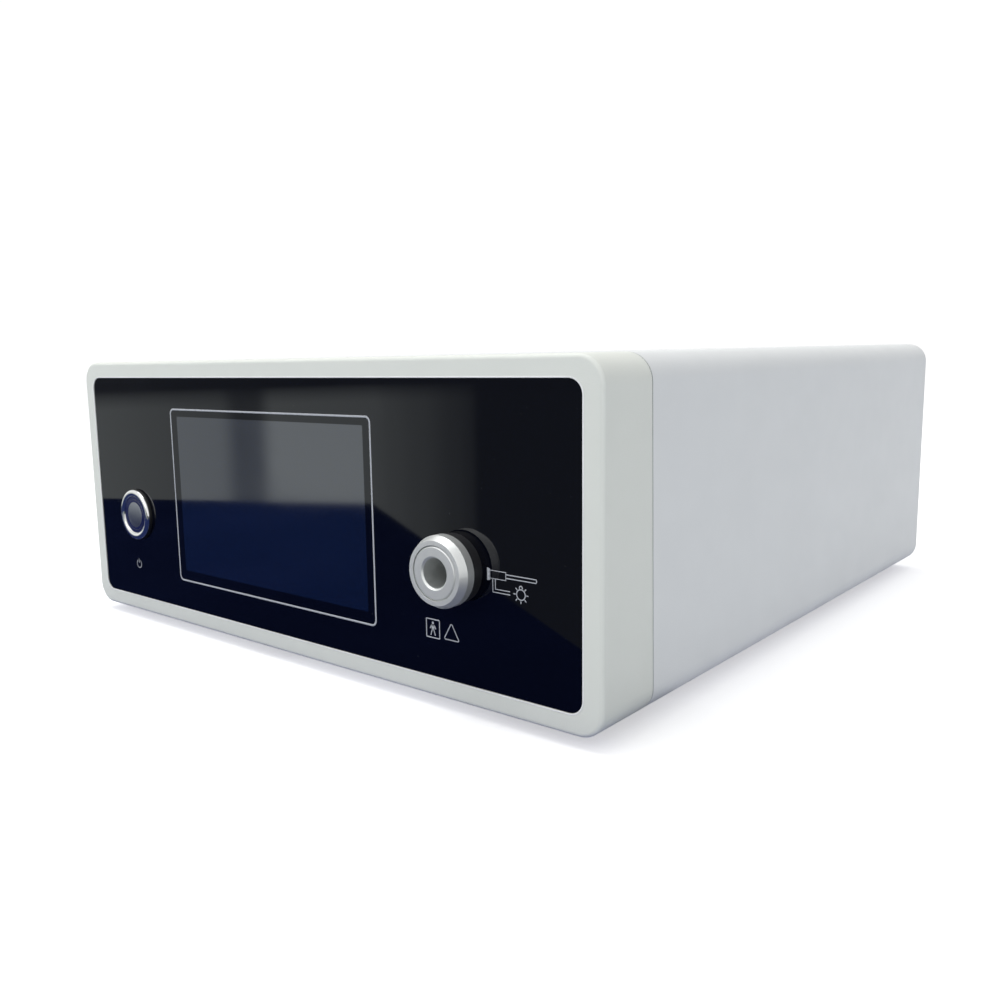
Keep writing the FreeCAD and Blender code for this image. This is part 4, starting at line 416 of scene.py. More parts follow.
def turned_metal(name, colour, roughness, centre, pitch_mm, depth_mm, metallic=1.0, edge_mm=0.15):
    """Metal off a lathe: fine rings round its axis, blasted to a satin that scatters light widely."""
    material, tree, shader = finish(name, colour, roughness, metallic=metallic)
    circles = rings(tree, centre, pitch_mm)
    blasted = grain(tree, BLAST_MM, 2)
    satin = spread(tree, circles, roughness * 0.9, roughness * 1.12, 0, 1)
    wire(tree, satin, shader.inputs["Roughness"])
    wire(tree, mottled(tree, blasted, scaled(colour, 0.93), colour), shader.inputs["Base Color"])
    rough = relief(tree, blasted, depth_mm, soft_normal(tree, edge_mm))
    wire(tree, relief(tree, circles, depth_mm * 0.6, rough), shader.inputs["Normal"])
    return material


def middle(node):
    low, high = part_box(node)
    return (low + high) / 2

# %% Metals off the lathe
SOCKET, BUTTON = middle("socket_ring"), middle("button_cap")
finishes["turned_aluminium"] = turned_metal(
    "satin_aluminium", (0.86, 0.88, 0.87), 0.47, SOCKET, 0.16, 0.005, metallic=0.82)
finishes["black_anodised"] = turned_metal(
    "black_anodised_rings", (0.025, 0.026, 0.028), 0.3, SOCKET, 0.3, 0.01, metallic=0.0)
finishes["chrome"] = turned_metal(
    "polished_chrome", (0.80, 0.81, 0.80), 0.08, BUTTON, 0.8, 0.0006, edge_mm=0.3)
finishes["brushed_cap"] = turned_metal(
    "ring_brushed_steel", (0.33, 0.35, 0.385), 0.3, BUTTON, 0.12, 0.004)
print("with turned metals:", len(finishes), "finishes")

# %% Sheet, bar, wire and screws
finishes["zinc_plated_sheet"] = straight_metal(
    "zinc_sheet", (0.64, 0.655, 0.67), 0.42, 0.9, (0.03, 1, 1), 0.002, shade=0.95)
finishes["aluminium_plate"] = straight_metal(
    "milled_plate", (0.76, 0.77, 0.78), 0.33, 0.8, (0.1, 1, 1))
finishes["sink_aluminium"] = straight_metal(
    "extruded_aluminium", (0.74, 0.75, 0.77), 0.38, 0.8, (1, 0.05, 1))
finishes["screw_steel"] = straight_metal(
    "bright_zinc", (0.66, 0.66, 0.65), 0.3, 0.35, (1, 1, 1), 0.0015)
finishes["spring_steel"] = straight_metal(
    "spring_wire", (0.48, 0.48, 0.49), 0.25, 0.4, (1, 1, 1), 0.003)
finishes["nickel_nut"] = straight_metal(
    "nickel_plate", (0.70, 0.68, 0.64), 0.26, 1.2, (1, 0.3, 1), 0.0008, shade=0.95)
finishes["tinned_brass"] = straight_metal(
    "tinned_brass_blade", (0.74, 0.71, 0.62), 0.28, 0.9, (1, 0.15, 1), 0.0006, shade=0.95)
finishes["grille_wire"] = straight_metal(
    "plated_wire", (0.76, 0.77, 0.79), 0.2, 0.6, (1, 1, 1), 0.003)
print("with plain metals:", len(finishes), "finishes")

# %% [markdown]
# ## Plastics, rubber, boards and the rest
# Moulded black plastic has a fine matt texture with shinier edges, rubber is duller with a soft
# mottle, and a circuit board is green lacquer over copper tracks, which a brick pattern with thin
# joints suggests well.

# %% Matt mouldings
MOTTLE_MM = 14


def moulded(name, colour, roughness, grain_mm=0.4, depth_mm=0.03, ior=1.48, edge_mm=0.2):
    material, tree, shader = finish(name, colour, roughness, ior=ior)
    texture = grain(tree, grain_mm, 3)
    mottle = mottled(tree, grain(tree, MOTTLE_MM, 3), scaled(colour, 0.9), scaled(colour, 1.1))
    edged = blend_colours(tree, sharp_edges(tree, edge_mm), mottle, scaled(colour, 1.5, extra=0.01))
    wire(tree, edged, shader.inputs["Base Color"])
    wire(tree, spread(tree, texture, roughness - 0.06, roughness + 0.08), shader.inputs["Roughness"])
    wire(tree, relief(tree, texture, depth_mm, soft_normal(tree, edge_mm)), shader.inputs["Normal"])
    return material


finishes["black_plastic"] = moulded("black_moulding", (0.022, 0.022, 0.025), 0.42)
finishes["fan_plastic"] = moulded("fan_moulding", (0.026, 0.026, 0.028), 0.38)
finishes["foot_rubber"] = moulded("foot_rubber_black", (0.03, 0.03, 0.03), 0.72, 0.7, 0.05)
finishes["foam_tape"] = moulded("foam_tape_black", (0.04, 0.04, 0.042), 0.85, 0.5, 0.12)
finishes["lead_sheath"] = moulded("lead_sheath_grey", (0.06, 0.06, 0.065), 0.5, 0.8, 0.01)
finishes["thermal_silicone"] = moulded("thermal_pad_grey", (0.42, 0.44, 0.47), 0.75, 0.3, 0.03)
finishes["lamp_ceramic"] = moulded("white_lamp_board", (0.82, 0.82, 0.76), 0.3, 0.5, 0.004)
finishes["light_ring"] = moulded("blue_light_ring", (0.012, 0.017, 0.075), 0.16, 2.0, 0.004, ior=1.49)
print("with mouldings:", len(finishes), "finishes")

# %% Lacquered board and clear glass
LACQUER, COPPER = (0.012, 0.13, 0.055), (0.05, 0.24, 0.09)
TRACKS_PER_METRE, TRACK_WIDTH = 90, 0.03


def lacquered_board(name):
    material, tree, shader = finish(name, LACQUER, 0.3)
    tracks = tree.nodes.new("ShaderNodeTexBrick")
    tracks.inputs["Scale"].default_value = TRACKS_PER_METRE
    tracks.inputs["Mortar Size"].default_value = TRACK_WIDTH
    for label, tone in (("Color1", 0), ("Color2", 0), ("Mortar", 1)):
        tracks.inputs[label].default_value = (tone, tone, tone, 1)
    wire(tree, on_object(tree), tracks.inputs["Vector"])
    coppered = blend_colours(tree, tracks.outputs["Color"], LACQUER, COPPER)
    wire(tree, coppered, shader.inputs["Base Color"])
    wire(tree, spread(tree, grain(tree, 2, 3), 0.24, 0.4), shader.inputs["Roughness"])
    wire(tree, relief(tree, tracks.outputs["Color"], 0.03), shader.inputs["Normal"])
    return material


def clear_glass(name, tint, ior):
    material, tree, shader = finish(name, tint, 0.02, ior=ior)
    shader.inputs["Transmission Weight"].default_value = 1.0
    wire(tree, spread(tree, grain(tree, 6, 3), 0.01, 0.05), shader.inputs["Roughness"])
    wire(tree, relief(tree, grain(tree, 9, 2), 0.004), shader.inputs["Normal"])
    return material


finishes["board_green"] = lacquered_board("green_board")
finishes["optical_glass"] = clear_glass("lens_glass", (0.97, 0.99, 0.99), 1.52)
finishes["fuse_glass"] = clear_glass("fuse_glass_tube", (0.93, 0.96, 0.96), 1.47)
print("all finishes:", len(finishes))

# %% [markdown]
# ## Dress the measured pieces
# Each measured piece names its finish, so one loop can swap every plain colour for the detailed
# one.

# %% Give every node its finish
for piece in frame["nodes"].values():
    for slot in piece.material_slots:
        slot.material = finishes[slot.material.name.split(".")[0]]
print("dressed", len(frame["nodes"]), "nodes")

# %% [markdown]
# ## Prints on the front
# The front carries thin light-grey lines: a frame round the screen, a standby sign under the
# button, and a figure, a triangle and a light guide with a lamp near the socket. Each is drawn flat
# in the XY plane, where a Geometry Nodes tree sweeps a flat strip along its lines. Filled parts are
# thin plates of the same thickness. Then the drawing is stood up against the panel's face.

# %% Start a tree, and end one
def tree_with_inputs(name, inputs):
    """A tree with named inputs, and their identifiers, by which a modifier sets them."""
    tree = bpy.data.node_groups.new(name, "GeometryNodeTree")
    sockets = tree.interface
    sockets.new_socket("Source", in_out="INPUT", socket_type="NodeSocketGeometry")
    identifiers = {}
    for label, kind in inputs.items():
        socket = sockets.new_socket(label, in_out="INPUT", socket_type="NodeSocket" + kind)
        identifiers[label] = socket.identifier
    sockets.new_socket("Result", in_out="OUTPUT", socket_type="NodeSocketGeometry")
    return tree, identifiers


def sweep_and_paint(tree, start, path, profile):
    """Bends a profile along a path with capped ends, and gives the mesh the tree's finish."""
    nodes = tree.nodes
    swept, real = nodes.new("GeometryNodeCurveToMesh"), nodes.new("GeometryNodeRealizeInstances")
    painted, end = nodes.new("GeometryNodeSetMaterial"), nodes.new("NodeGroupOutput")
    swept.inputs["Fill Caps"].default_value = True
    wire(tree, path, swept.inputs["Curve"])
    wire(tree, profile, swept.inputs["Profile Curve"])
    wire(tree, swept.outputs["Mesh"], real.inputs["Geometry"])
    wire(tree, real.outputs["Geometry"], painted.inputs["Geometry"])
    wire(tree, start.outputs["Finish"], painted.inputs["Material"])
    wire(tree, painted.outputs["Geometry"], end.inputs["Result"])

# %% A tree that sweeps a flat strip, or a round bead, along a path
BEAD_SIDES = 10


def sweeping_tree(name, round_bead):
    """A flat strip takes its width and thickness; a round bead takes its width as its diameter."""
    tree, identifiers = tree_with_inputs(name, {
        "Width": "Float", "Thickness": "Float", "Corner Radius": "Float", "Corner Steps": "Int",
        "Finish": "Material"})
    nodes = tree.nodes
    start, curve = nodes.new("NodeGroupInput"), nodes.new("GeometryNodeMeshToCurve")
    rounded, flat = nodes.new("GeometryNodeFilletCurve"), nodes.new("GeometryNodeSetCurveNormal")
    rounded.mode = "POLY"
    flat.mode = "Z_UP"
    wire(tree, start.outputs["Source"], curve.inputs["Mesh"])
    wire(tree, curve.outputs["Curve"], rounded.inputs["Curve"])
    wire(tree, start.outputs["Corner Radius"], rounded.inputs["Radius"])
    wire(tree, start.outputs["Corner Steps"], rounded.inputs["Count"])
    wire(tree, rounded.outputs["Curve"], flat.inputs["Curve"])
    if round_bead:
        profile, half = nodes.new("GeometryNodeCurvePrimitiveCircle"), nodes.new("ShaderNodeMath")
        profile.inputs["Resolution"].default_value = BEAD_SIDES
        half.operation = "MULTIPLY"
        half.inputs[1].default_value = 0.5
        wire(tree, start.outputs["Width"], half.inputs[0])
        wire(tree, half.outputs["Value"], profile.inputs["Radius"])
    else:
        profile = nodes.new("GeometryNodeCurvePrimitiveQuadrilateral")
        wire(tree, start.outputs["Width"], profile.inputs["Width"])
        wire(tree, start.outputs["Thickness"], profile.inputs["Height"])
    sweep_and_paint(tree, start, flat.outputs["Curve"], profile.outputs["Curve"])
    return tree, identifiers


STRIP, BEAD = sweeping_tree("flat_strip", False), sweeping_tree("round_bead", True)
print("trees:", [tree.name for tree, _ in (STRIP, BEAD)])

# %% Run a tree and keep its result as a plain mesh
def grown(name, source, kind, values):
    """The mesh that a tree makes from a source object, as a new object; the source is removed."""
    tree, identifiers = kind
    modifier = source.modifiers.new("grow", "NODES")
    modifier.node_group = tree
    for label, value in values.items():
        modifier[identifiers[label]] = value
    graph = bpy.context.evaluated_depsgraph_get()
    mesh = bpy.data.meshes.new_from_object(source.evaluated_get(graph))
    mesh.name = name
    source.modifiers.remove(modifier)
    bpy.data.objects.remove(source)
    return placed(name, mesh)


def swept_lines(name, lines, kind, width, thickness, material, corner=0.0, corner_steps=6):
    """Sweeps a strip or a bead along lines: each is its points in millimetres, and if it closes."""
    points, edges = [], []
    for line, closed in lines:
        first = len(points)
        points += [tuple(v * MM for v in point) for point in line]
        edges += [(first + k, first + k + 1) for k in range(len(line) - 1)]
        if closed:
            edges.append((len(points) - 1, first))
    mesh = bpy.data.meshes.new(name + "_paths")
    mesh.from_pydata(points, edges, [])
    return grown(name, placed(name + "_paths", mesh), kind, {
        "Width": width * MM, "Thickness": thickness * MM, "Corner Radius": corner * MM,
        "Corner Steps": corner_steps, "Finish": material})

# %% Ink, and where the panel's face is
PANEL_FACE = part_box("front_panel")[0].y
INK_THICKNESS = 0.03

ink, ink_tree, ink_shader = finish("light_grey_ink", (0.50, 0.52, 0.56), 0.4)
ink_mottle = mottled(ink_tree, grain(ink_tree, 0.5, 2), (0.42, 0.44, 0.48), (0.54, 0.56, 0.60))
wire(ink_tree, ink_mottle, ink_shader.inputs["Base Color"])
wire(ink_tree, relief(ink_tree, grain(ink_tree, 0.3, 2), 0.004), ink_shader.inputs["Normal"])


def standing(across, upwards, origin=(0, 0, 0)):
    """A matrix that stands a drawing up: its X goes across, its Y upwards and its Z out of the face."""
    across, upwards = Vector(across), Vector(upwards)
    columns = Matrix((across, upwards, across.cross(upwards))).transposed()
    return Matrix.Translation(Vector(origin)) @ columns.to_4x4()


def facing_front(y_mm):
    """Stands a drawing up so that it faces forwards, at a place between front and back."""
    return standing((1, 0, 0), (0, 0, 1), (0, y_mm * MM, 0))


ON_PANEL = facing_front(PANEL_FACE / MM)
print("panel face at y =", round(PANEL_FACE / MM, 2))

# %% Lines and outlines to draw with
def circle(x, z, r, count=28, start=0.0, turn=360.0):
    """Points on a circle, or on part of one, from a starting angle in degrees."""
    steps = count if turn == 360.0 else count + 1
    return [(x + r * math.cos(math.radians(start + turn * k / count)),
             z + r * math.sin(math.radians(start + turn * k / count))) for k in range(steps)]


def rectangle(left, low, right_end, high):
    return [(left, low), (right_end, low), (right_end, high), (left, high)]

# %% Print lines and filled shapes on a face
def printed(name, open_lines=(), closed_lines=(), solids=(), at=(0, 0), width=0.35, corner=0.0,
            place=ON_PANEL, body="housing"):
    """Lines as strips and solids as filled outlines, in millimetres across and up the face."""
    lines = [([(at[0] + x, at[1] + z, INK_THICKNESS / 2) for x, z in line], closed)
             for drawn, closed in ((open_lines, False), (closed_lines, True)) for line in drawn]
    made = swept_lines(name, lines, STRIP, width, INK_THICKNESS, ink, corner)
    shape = bmesh.new()
    shape.from_mesh(made.data)
    for outline in solids:
        low, high = ([shape.verts.new(((at[0] + x) * MM, (at[1] + z) * MM, height * MM))
                      for x, z in outline] for height in (0, INK_THICKNESS))
        shape.faces.new(low)
        shape.faces.new(high)
        for k in range(len(outline)):
            shape.faces.new((low[k - 1], low[k], high[k], high[k - 1]))
    closed_up(shape, made.data)
    made.data.transform(place)
    finished(made, body)

# %% The frame round the screen
printed("display_frame", closed_lines=[rectangle(-76.9, 24.7, 51.0, 103.0)], width=0.75, corner=2.2)

# %% The screen's own pane
PANE_CORNER, PANE_CORNER_STEPS = 0.5, 6
PANE_THICKNESS, PANE_SOFTENED = 0.02, 0.6  # the second is a share of the first


def pane(name, left, low, right_end, high, material):
    """A thin sheet with round corners and a softened front edge, on the panel's face."""
    outline = []
    for x, z, start in ((right_end - PANE_CORNER, high - PANE_CORNER, 0),
                        (left + PANE_CORNER, high - PANE_CORNER, 90),
                        (left + PANE_CORNER, low + PANE_CORNER, 180),
                        (right_end - PANE_CORNER, low + PANE_CORNER, 270)):
        outline += circle(x, z, PANE_CORNER, PANE_CORNER_STEPS, start, 90.0)
    shape = bmesh.new()
    face = shape.faces.new([shape.verts.new((x * MM, PANEL_FACE, z * MM)) for x, z in outline])
    front = bmesh.ops.extrude_face_region(shape, geom=[face])
    moved = [v for v in front["geom"] if isinstance(v, bmesh.types.BMVert)]
    bmesh.ops.translate(shape, verts=moved, vec=(0, -PANE_THICKNESS * MM, 0))
    rim = [e for e in shape.edges if all(v in moved for v in e.verts)]
    bmesh.ops.bevel(shape, geom=rim, offset=PANE_THICKNESS * MM * PANE_SOFTENED, segments=2,
                    affect="EDGES")
    mesh = bpy.data.meshes.new(name)
    closed_up(shape, mesh)
    mesh.materials.append(material)
    return placed(name, mesh)


screen = pane("screen_pane", -72.2, 29.6, 47.1, 99.8, finishes["display_glass"])
finished(screen, "housing")

# %% The standby sign: an open circle with a short stroke in its gap
printed("standby_sign", at=(-112.0, 27.4),
        open_lines=[circle(0, 0, 1.9, 20, start=120, turn=300), [(0, 0.4), (0, 2.6)]])

# %% The figure in its box: a head, a trunk, arms and legs
printed("figure_sign", at=(79.7, 28.9), width=0.42, corner=0.3,
        closed_lines=[rectangle(-3.1, -3.35, 3.1, 3.35)],
        open_lines=[[(-1.35, -0.1), (-0.65, 1.15), (0.65, 1.15), (1.35, -0.1)],
                    [(-0.35, -0.3), (-1.05, -2.5)],
                    [(0.35, -0.3), (1.05, -2.5)]],
        solids=[circle(0, 2.05, 0.5, 16), [(-0.62, -0.7), (0.62, -0.7), (0.7, 1.3), (-0.7, 1.3)]])

# %% The triangle
printed("triangle_sign", at=(88.35, 26.1), width=0.38, corner=0.45,
        closed_lines=[[(-3.55, 0), (3.55, 0), (0, 6.1)]])

# %% The light guide, with its grip, tip and cable, and a shining lamp beside it
LAMP_X, LAMP_Z, LAMP_R = 13.6, -5.2, 1.75
RAY_START, RAY_END = 0.35, 1.25
ray_angles = [math.radians(90 + 45 * k) for k in range(1, 8)]
rays = [[(LAMP_X + reach * math.cos(angle), LAMP_Z + reach * math.sin(angle))
         for reach in (LAMP_R + RAY_START, LAMP_R + RAY_END)] for angle in ray_angles]
guide_tip = [(7.5, 0.7), (19.6, 0.7), (20.0, 0.1), (19.6, -0.5), (7.5, -0.5)]
guide_cable = [[(2.0, -1.3), (2.0, -5.9), (9.2, -5.9)], [(3.1, -1.3), (3.1, -4.8), (9.2, -4.8)]]
lamp_cap = circle(LAMP_X, LAMP_Z + LAMP_R + 0.55, 0.6, 12, start=-30, turn=240)
printed("light_guide_sign", at=(105.0, 52.2), width=0.36,
        closed_lines=[rectangle(0.9, -1.3, 7.5, 1.4), circle(LAMP_X, LAMP_Z, LAMP_R, 24)],
        open_lines=[guide_tip, *guide_cable, lamp_cap, *rays],
        solids=[[(-0.35, -2.2), (0.95, -1.9), (0.95, 1.9), (-0.35, 2.2)]])

# %% [markdown]
# ## The button's rim, painted shade ring and inlay
# A polished rim shows as a bright ring with dark streaks because it is crowned, not flat. The
# measured rim is a flat turned face, so a thin crowned ring is laid on it: one profile, turned
# round the button's axis. A near-black ring in the gap between rim and front is painted shade round
# the rim. On the cap, a slightly domed metal inlay and the dark ring round it cover the measured
# cap's dish, and they move with the cap.

# %% Turn a profile round an axis
TURNING_STEPS = 128


def turned(name, profile, centre, material):
    """A closed ring from (radius, y) points in millimetres, turned round a Y axis through a centre."""
    points, faces = [], []
    for k in range(TURNING_STEPS):
        angle = 2 * math.pi * k / TURNING_STEPS
        points += [(centre.x + r * MM * math.cos(angle), y * MM, centre.z + r * MM * math.sin(angle))
                   for r, y in profile]
    count = len(profile)
    for k in range(TURNING_STEPS):
        here, there = k * count, (k + 1) % TURNING_STEPS * count
        faces += [(here + j, here + (j + 1) % count, there + (j + 1) % count, there + j)
                  for j in range(count)]
    return new_piece(name, points, faces, material)

# %% The crowned rim
RIM_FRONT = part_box("button_body")[0].y / MM
RIM_INNER, RIM_OUTER, RIM_CROWN = 8.75, 12.05, 0.3
RIM_EDGE_DEPTH, RIM_BACK_DEPTH = 0.6, 0.9
CROWN_STEPS, CROWN_FULLNESS = 14, 0.45


def crown_point(k):
    """A point across the rim's crown, from its inner edge at 0 to its outer edge at the last step."""
    height = math.sin(math.pi * k / CROWN_STEPS) ** CROWN_FULLNESS
    return (RIM_INNER + (RIM_OUTER - RIM_INNER) * k / CROWN_STEPS,
            RIM_FRONT + RIM_EDGE_DEPTH - (RIM_CROWN + RIM_EDGE_DEPTH) * height)


rim_back = [(RIM_OUTER, RIM_FRONT + RIM_BACK_DEPTH), (RIM_INNER, RIM_FRONT + RIM_BACK_DEPTH)]
crown = [crown_point(k) for k in range(CROWN_STEPS + 1)]
rim = turned("button_rim", crown + rim_back, BUTTON, finishes["chrome"])
finished(rim, "housing")

# %% Painted shade ring between the rim and the front
SHADE_RING_INNER, SHADE_RING_OUTER = 12.04, 12.2
# The shade ring's front edge as radii, and how far each lies behind the rim's front
SHADE_RING_EDGE = ((SHADE_RING_INNER, 0.95), (12.1, 1.0), (SHADE_RING_OUTER, 1.2))
shade_ring_back = [(SHADE_RING_OUTER, PANEL_FACE / MM), (SHADE_RING_INNER, PANEL_FACE / MM)]
# Near-black ring in the gap round the rim: painted shade.
shade_ring_black = moulded("shade_ring_black", (0.004, 0.0045, 0.006), 0.5, 0.7, 0.01)
shade_ring_front = [(r, RIM_FRONT + depth) for r, depth in SHADE_RING_EDGE]
shade_ring = turned("button_painted_shade_ring", shade_ring_front + shade_ring_back, BUTTON, shade_ring_black)
finished(shade_ring, "housing")

# %% The dark ring and the domed inlay on the cap
CAP_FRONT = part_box("button_cap")[0].y / MM
COVER_R, COVER_THICKNESS = 7.2, 0.05
INLAY_R, INLAY_CROWN, INLAY_GAP, INLAY_STEPS = 6.0, 0.3, 0.05, 8
cover_front = CAP_FRONT - COVER_THICKNESS
cover_outline = rectangle(INLAY_R + INLAY_GAP, cover_front, COVER_R, CAP_FRONT)
cover = turned("cap_cover", cover_outline, BUTTON, finishes["light_ring"])
finished(cover, "button")
shares = [k / INLAY_STEPS for k in range(INLAY_STEPS + 1)]
dome = [(INLAY_R * share, cover_front - INLAY_CROWN * (1 - share ** 2)) for share in shares]
inlay_back = [(INLAY_R, CAP_FRONT), (0, CAP_FRONT)]
inlay = turned("cap_inlay", dome + inlay_back, BUTTON, finishes["brushed_cap"])
finished(inlay, "button")

# %% [markdown]
# ## The spring under the cap
# A coil spring under the button's cap shortens when the cap is pressed. Here it is wound again:
# a tree bends round wire along a spiral of a given radius, height and number of turns. It rests on
# the floor of the barrel and rides on the housing.

# %% A tree that winds a coil
COIL_STEPS, WIRE_SIDES = 40, 12


def coil_tree():
    tree, identifiers = tree_with_inputs("wound_coil", {
        "Turns": "Float", "Coil Radius": "Float", "Rise": "Float", "Wire Radius": "Float",
        "Finish": "Material"})
    nodes = tree.nodes
    start, spiral = nodes.new("NodeGroupInput"), nodes.new("GeometryNodeCurveSpiral")
    round_wire = nodes.new("GeometryNodeCurvePrimitiveCircle")
    spiral.inputs["Resolution"].default_value = COIL_STEPS
    round_wire.inputs["Resolution"].default_value = WIRE_SIDES
    for label, part, socket in (("Turns", spiral, "Rotations"), ("Coil Radius", spiral, "Start Radius"),
                                ("Coil Radius", spiral, "End Radius"), ("Rise", spiral, "Height"),
                                ("Wire Radius", round_wire, "Radius")):
        wire(tree, start.outputs[label], part.inputs[socket])
    sweep_and_paint(tree, start, spiral.outputs["Curve"], round_wire.outputs["Curve"])
    return tree, identifiers

# %% Wind the spring
SPRING_TURNS, SPRING_WIRE_R = 3.5, 0.4
spring_low, spring_high = box_mm("button_spring")
spring_length = spring_high.y - spring_low.y
spring_radius = (spring_high.x - spring_low.x) / 2 - SPRING_WIRE_R
blank = placed("spring_blank", bpy.data.meshes.new("spring_blank"))
spring = grown("cap_spring", blank, coil_tree(), {
    "Turns": SPRING_TURNS, "Coil Radius": spring_radius * MM,
    "Rise": (spring_length - 2 * SPRING_WIRE_R) * MM, "Wire Radius": SPRING_WIRE_R * MM,
    "Finish": finishes["spring_steel"]})
spring_start = (BUTTON.x, (spring_low.y + SPRING_WIRE_R) * MM, BUTTON.z)
spring.data.transform(standing((1, 0, 0), (0, 0, -1), spring_start))
spring.data.shade_smooth()
finished(spring, "housing")
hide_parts("button_spring")
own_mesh(spring)
print("spring, mm: radius", round(spring_radius, 2), "length", round(spring_length, 2))

# %% [markdown]
# ## The seam, and the bright strip round the glossy panel
# A black bead in the narrow gap between the bezel and the sleeve is painted shade: its top lies just
# under their skins, so the seam reads as one thin dark line. The gap leans forward a little towards
# the top. Where the bezel meets the glossy panel, a thin bright strip is a painted highlight of the
# bezel's inner edge. Both follow a rounded rectangle, so they are swept with the prints' trees: the
# shade as a round bead, the highlight as a flat strip.

# %% The painted shade bead in the seam
CASE_CORNER = 9.5
SEAM_AT_BASE, SEAM_AT_TOP, SEAM_GAP = -134.1, -137.2, 0.4
SHADE_BEAD_WIDTH, SHADE_BEAD_SUNK = 0.38, 0.06
FRAME_CORNER_STEPS = 14
case_low, case_high = box_mm("front_bezel")


def swept_frame(name, half_width, low, high, kind, width, thickness, material, corner):
    """One closed line round a rounded rectangle in the XY plane."""
    corners = [(x, y, 0) for x, y in rectangle(-half_width, low, half_width, high)]
    return swept_lines(name, [(corners, True)], kind, width, thickness, material, corner,
                       FRAME_CORNER_STEPS)


def leaning_plane(low, high):
    """Stands a flat drawing up in the seam's leaning plane, with its width kept."""
    lean = (SEAM_AT_TOP - SEAM_AT_BASE) / (high - low)
    middle_y = SEAM_AT_BASE + SEAM_GAP / 2 - lean * low
    return Matrix(((1, 0, 0, 0), (0, lean, -1, middle_y * MM), (0, 1, 0, 0), (0, 0, 0, 1)))


# A black bead just under the skins in the seam's gap: painted shade.
sunk = SHADE_BEAD_SUNK + SHADE_BEAD_WIDTH / 2
seam_shade_bead = swept_frame("seam_painted_shade", case_high.x - sunk, case_low.z + sunk, case_high.z - sunk, BEAD,
                   SHADE_BEAD_WIDTH, SHADE_BEAD_WIDTH, finishes["foot_rubber"], CASE_CORNER - sunk)
seam_shade_bead.data.transform(leaning_plane(case_low.z, case_high.z))
seam_shade_bead.data.shade_smooth()
finished(seam_shade_bead, "housing")

# %% The painted highlight strip round the panel
PANEL_GAP, PANEL_CORNER = 0.15, 5.0
HIGHLIGHT_STRIP_WIDTH, HIGHLIGHT_STRIP_THICKNESS = 0.55, 0.05
panel_low, panel_high = box_mm("front_panel")
beyond = PANEL_GAP + HIGHLIGHT_STRIP_WIDTH / 2
# A thin bright strip round the panel: a painted highlight of the bezel's inner edge.
highlight_strip_finish = moulded("painted_highlight_white", (0.95, 0.96, 0.95), 0.6, 0.6, 0.002, edge_mm=0.03)
highlight_strip = swept_frame("painted_highlight_strip", panel_high.x + beyond, panel_low.z - beyond, panel_high.z + beyond,
                  STRIP, HIGHLIGHT_STRIP_WIDTH, HIGHLIGHT_STRIP_THICKNESS, highlight_strip_finish, PANEL_CORNER + beyond)
highlight_strip.data.transform(facing_front(case_low.y - HIGHLIGHT_STRIP_THICKNESS / 2))
finished(highlight_strip, "housing")

# %% [markdown]
# ## Small things at the back
# The rocker switch carries the usual bar and ring, one on each half of its shallow V, and they ride
# on it. The fuse drawer has a few raised ribs for a fingernail. The bar, the ring and the ribs are
# swept lines again.

# %% Bar and ring on the rocker
ROCKER_AXIS = Vector(joints["rocker_tilt"]["pos_m"]) / MM
ROCKER_SLOPE = -math.radians(joints["rocker_tilt"]["range_deg"][0])
FACE_FROM_AXIS, BAR_UP, RING_DOWN = 4.565, 6.0, 5.992
BAR_LENGTH, RING_R = 3.2, 1.5


def on_rocker(slope, up_the_face):
    """Stands a drawing on a half of the rocker that slopes from upright by an angle."""
    upwards = Vector((0, -math.sin(slope), math.cos(slope)))
    outwards = Vector((0, math.cos(slope), math.sin(slope)))
    middle_mm = ROCKER_AXIS + outwards * FACE_FROM_AXIS + upwards * up_the_face
    return standing((-1, 0, 0), upwards, middle_mm * MM)


printed("rocker_bar", open_lines=[[(0, -BAR_LENGTH / 2), (0, BAR_LENGTH / 2)]], width=0.6,
        place=on_rocker(0, BAR_UP), body="rocker")
printed("rocker_ring", closed_lines=[circle(0, 0, RING_R, 32)], width=0.5,
        place=on_rocker(ROCKER_SLOPE, -RING_DOWN), body="rocker")

# %% Ribs on the fuse drawer
RIB_COUNT, RIB_PITCH, RIB_WIDTH, RIB_HALF_LENGTH = 5, 1.3, 0.6, 5.5
RIB_SMOOTH_BELOW = math.radians(50)
drawer_low, drawer_high = box_mm("fuse_drawer")
rib_x, rib_z = (drawer_low.x + drawer_high.x) / 2, (drawer_low.z + drawer_high.z) / 2
rib_heights = [rib_z + (k - (RIB_COUNT - 1) / 2) * RIB_PITCH for k in range(RIB_COUNT)]
rib_lines = [([(rib_x - RIB_HALF_LENGTH, height, 0), (rib_x + RIB_HALF_LENGTH, height, 0)], False)
             for height in rib_heights]
ribs = swept_lines("drawer_ribs", rib_lines, BEAD, RIB_WIDTH, RIB_WIDTH, finishes["black_plastic"])
ribs.data.transform(facing_front(drawer_high.y))
ribs.data.shade_smooth()
ribs.data.set_sharp_from_angle(angle=RIB_SMOOTH_BELOW)
finished(ribs, "fuse_carrier")

# %% [markdown]
# ## Floor and light
# A plain pale floor and an even white surround light the object like a light tent, and wide lamps
# above and in front make the top and the front a little brighter than the sides. The surround and
# the floor count as white where the camera, a mirror or a lens sees them, without adding light to
# the object. What the floor throws back on the object is bluish and weak, as a dark bench would. A
# dark bench top and the dim room behind the viewer lie flat on the floor, where only polished parts
# find them: they give the black front its depth.

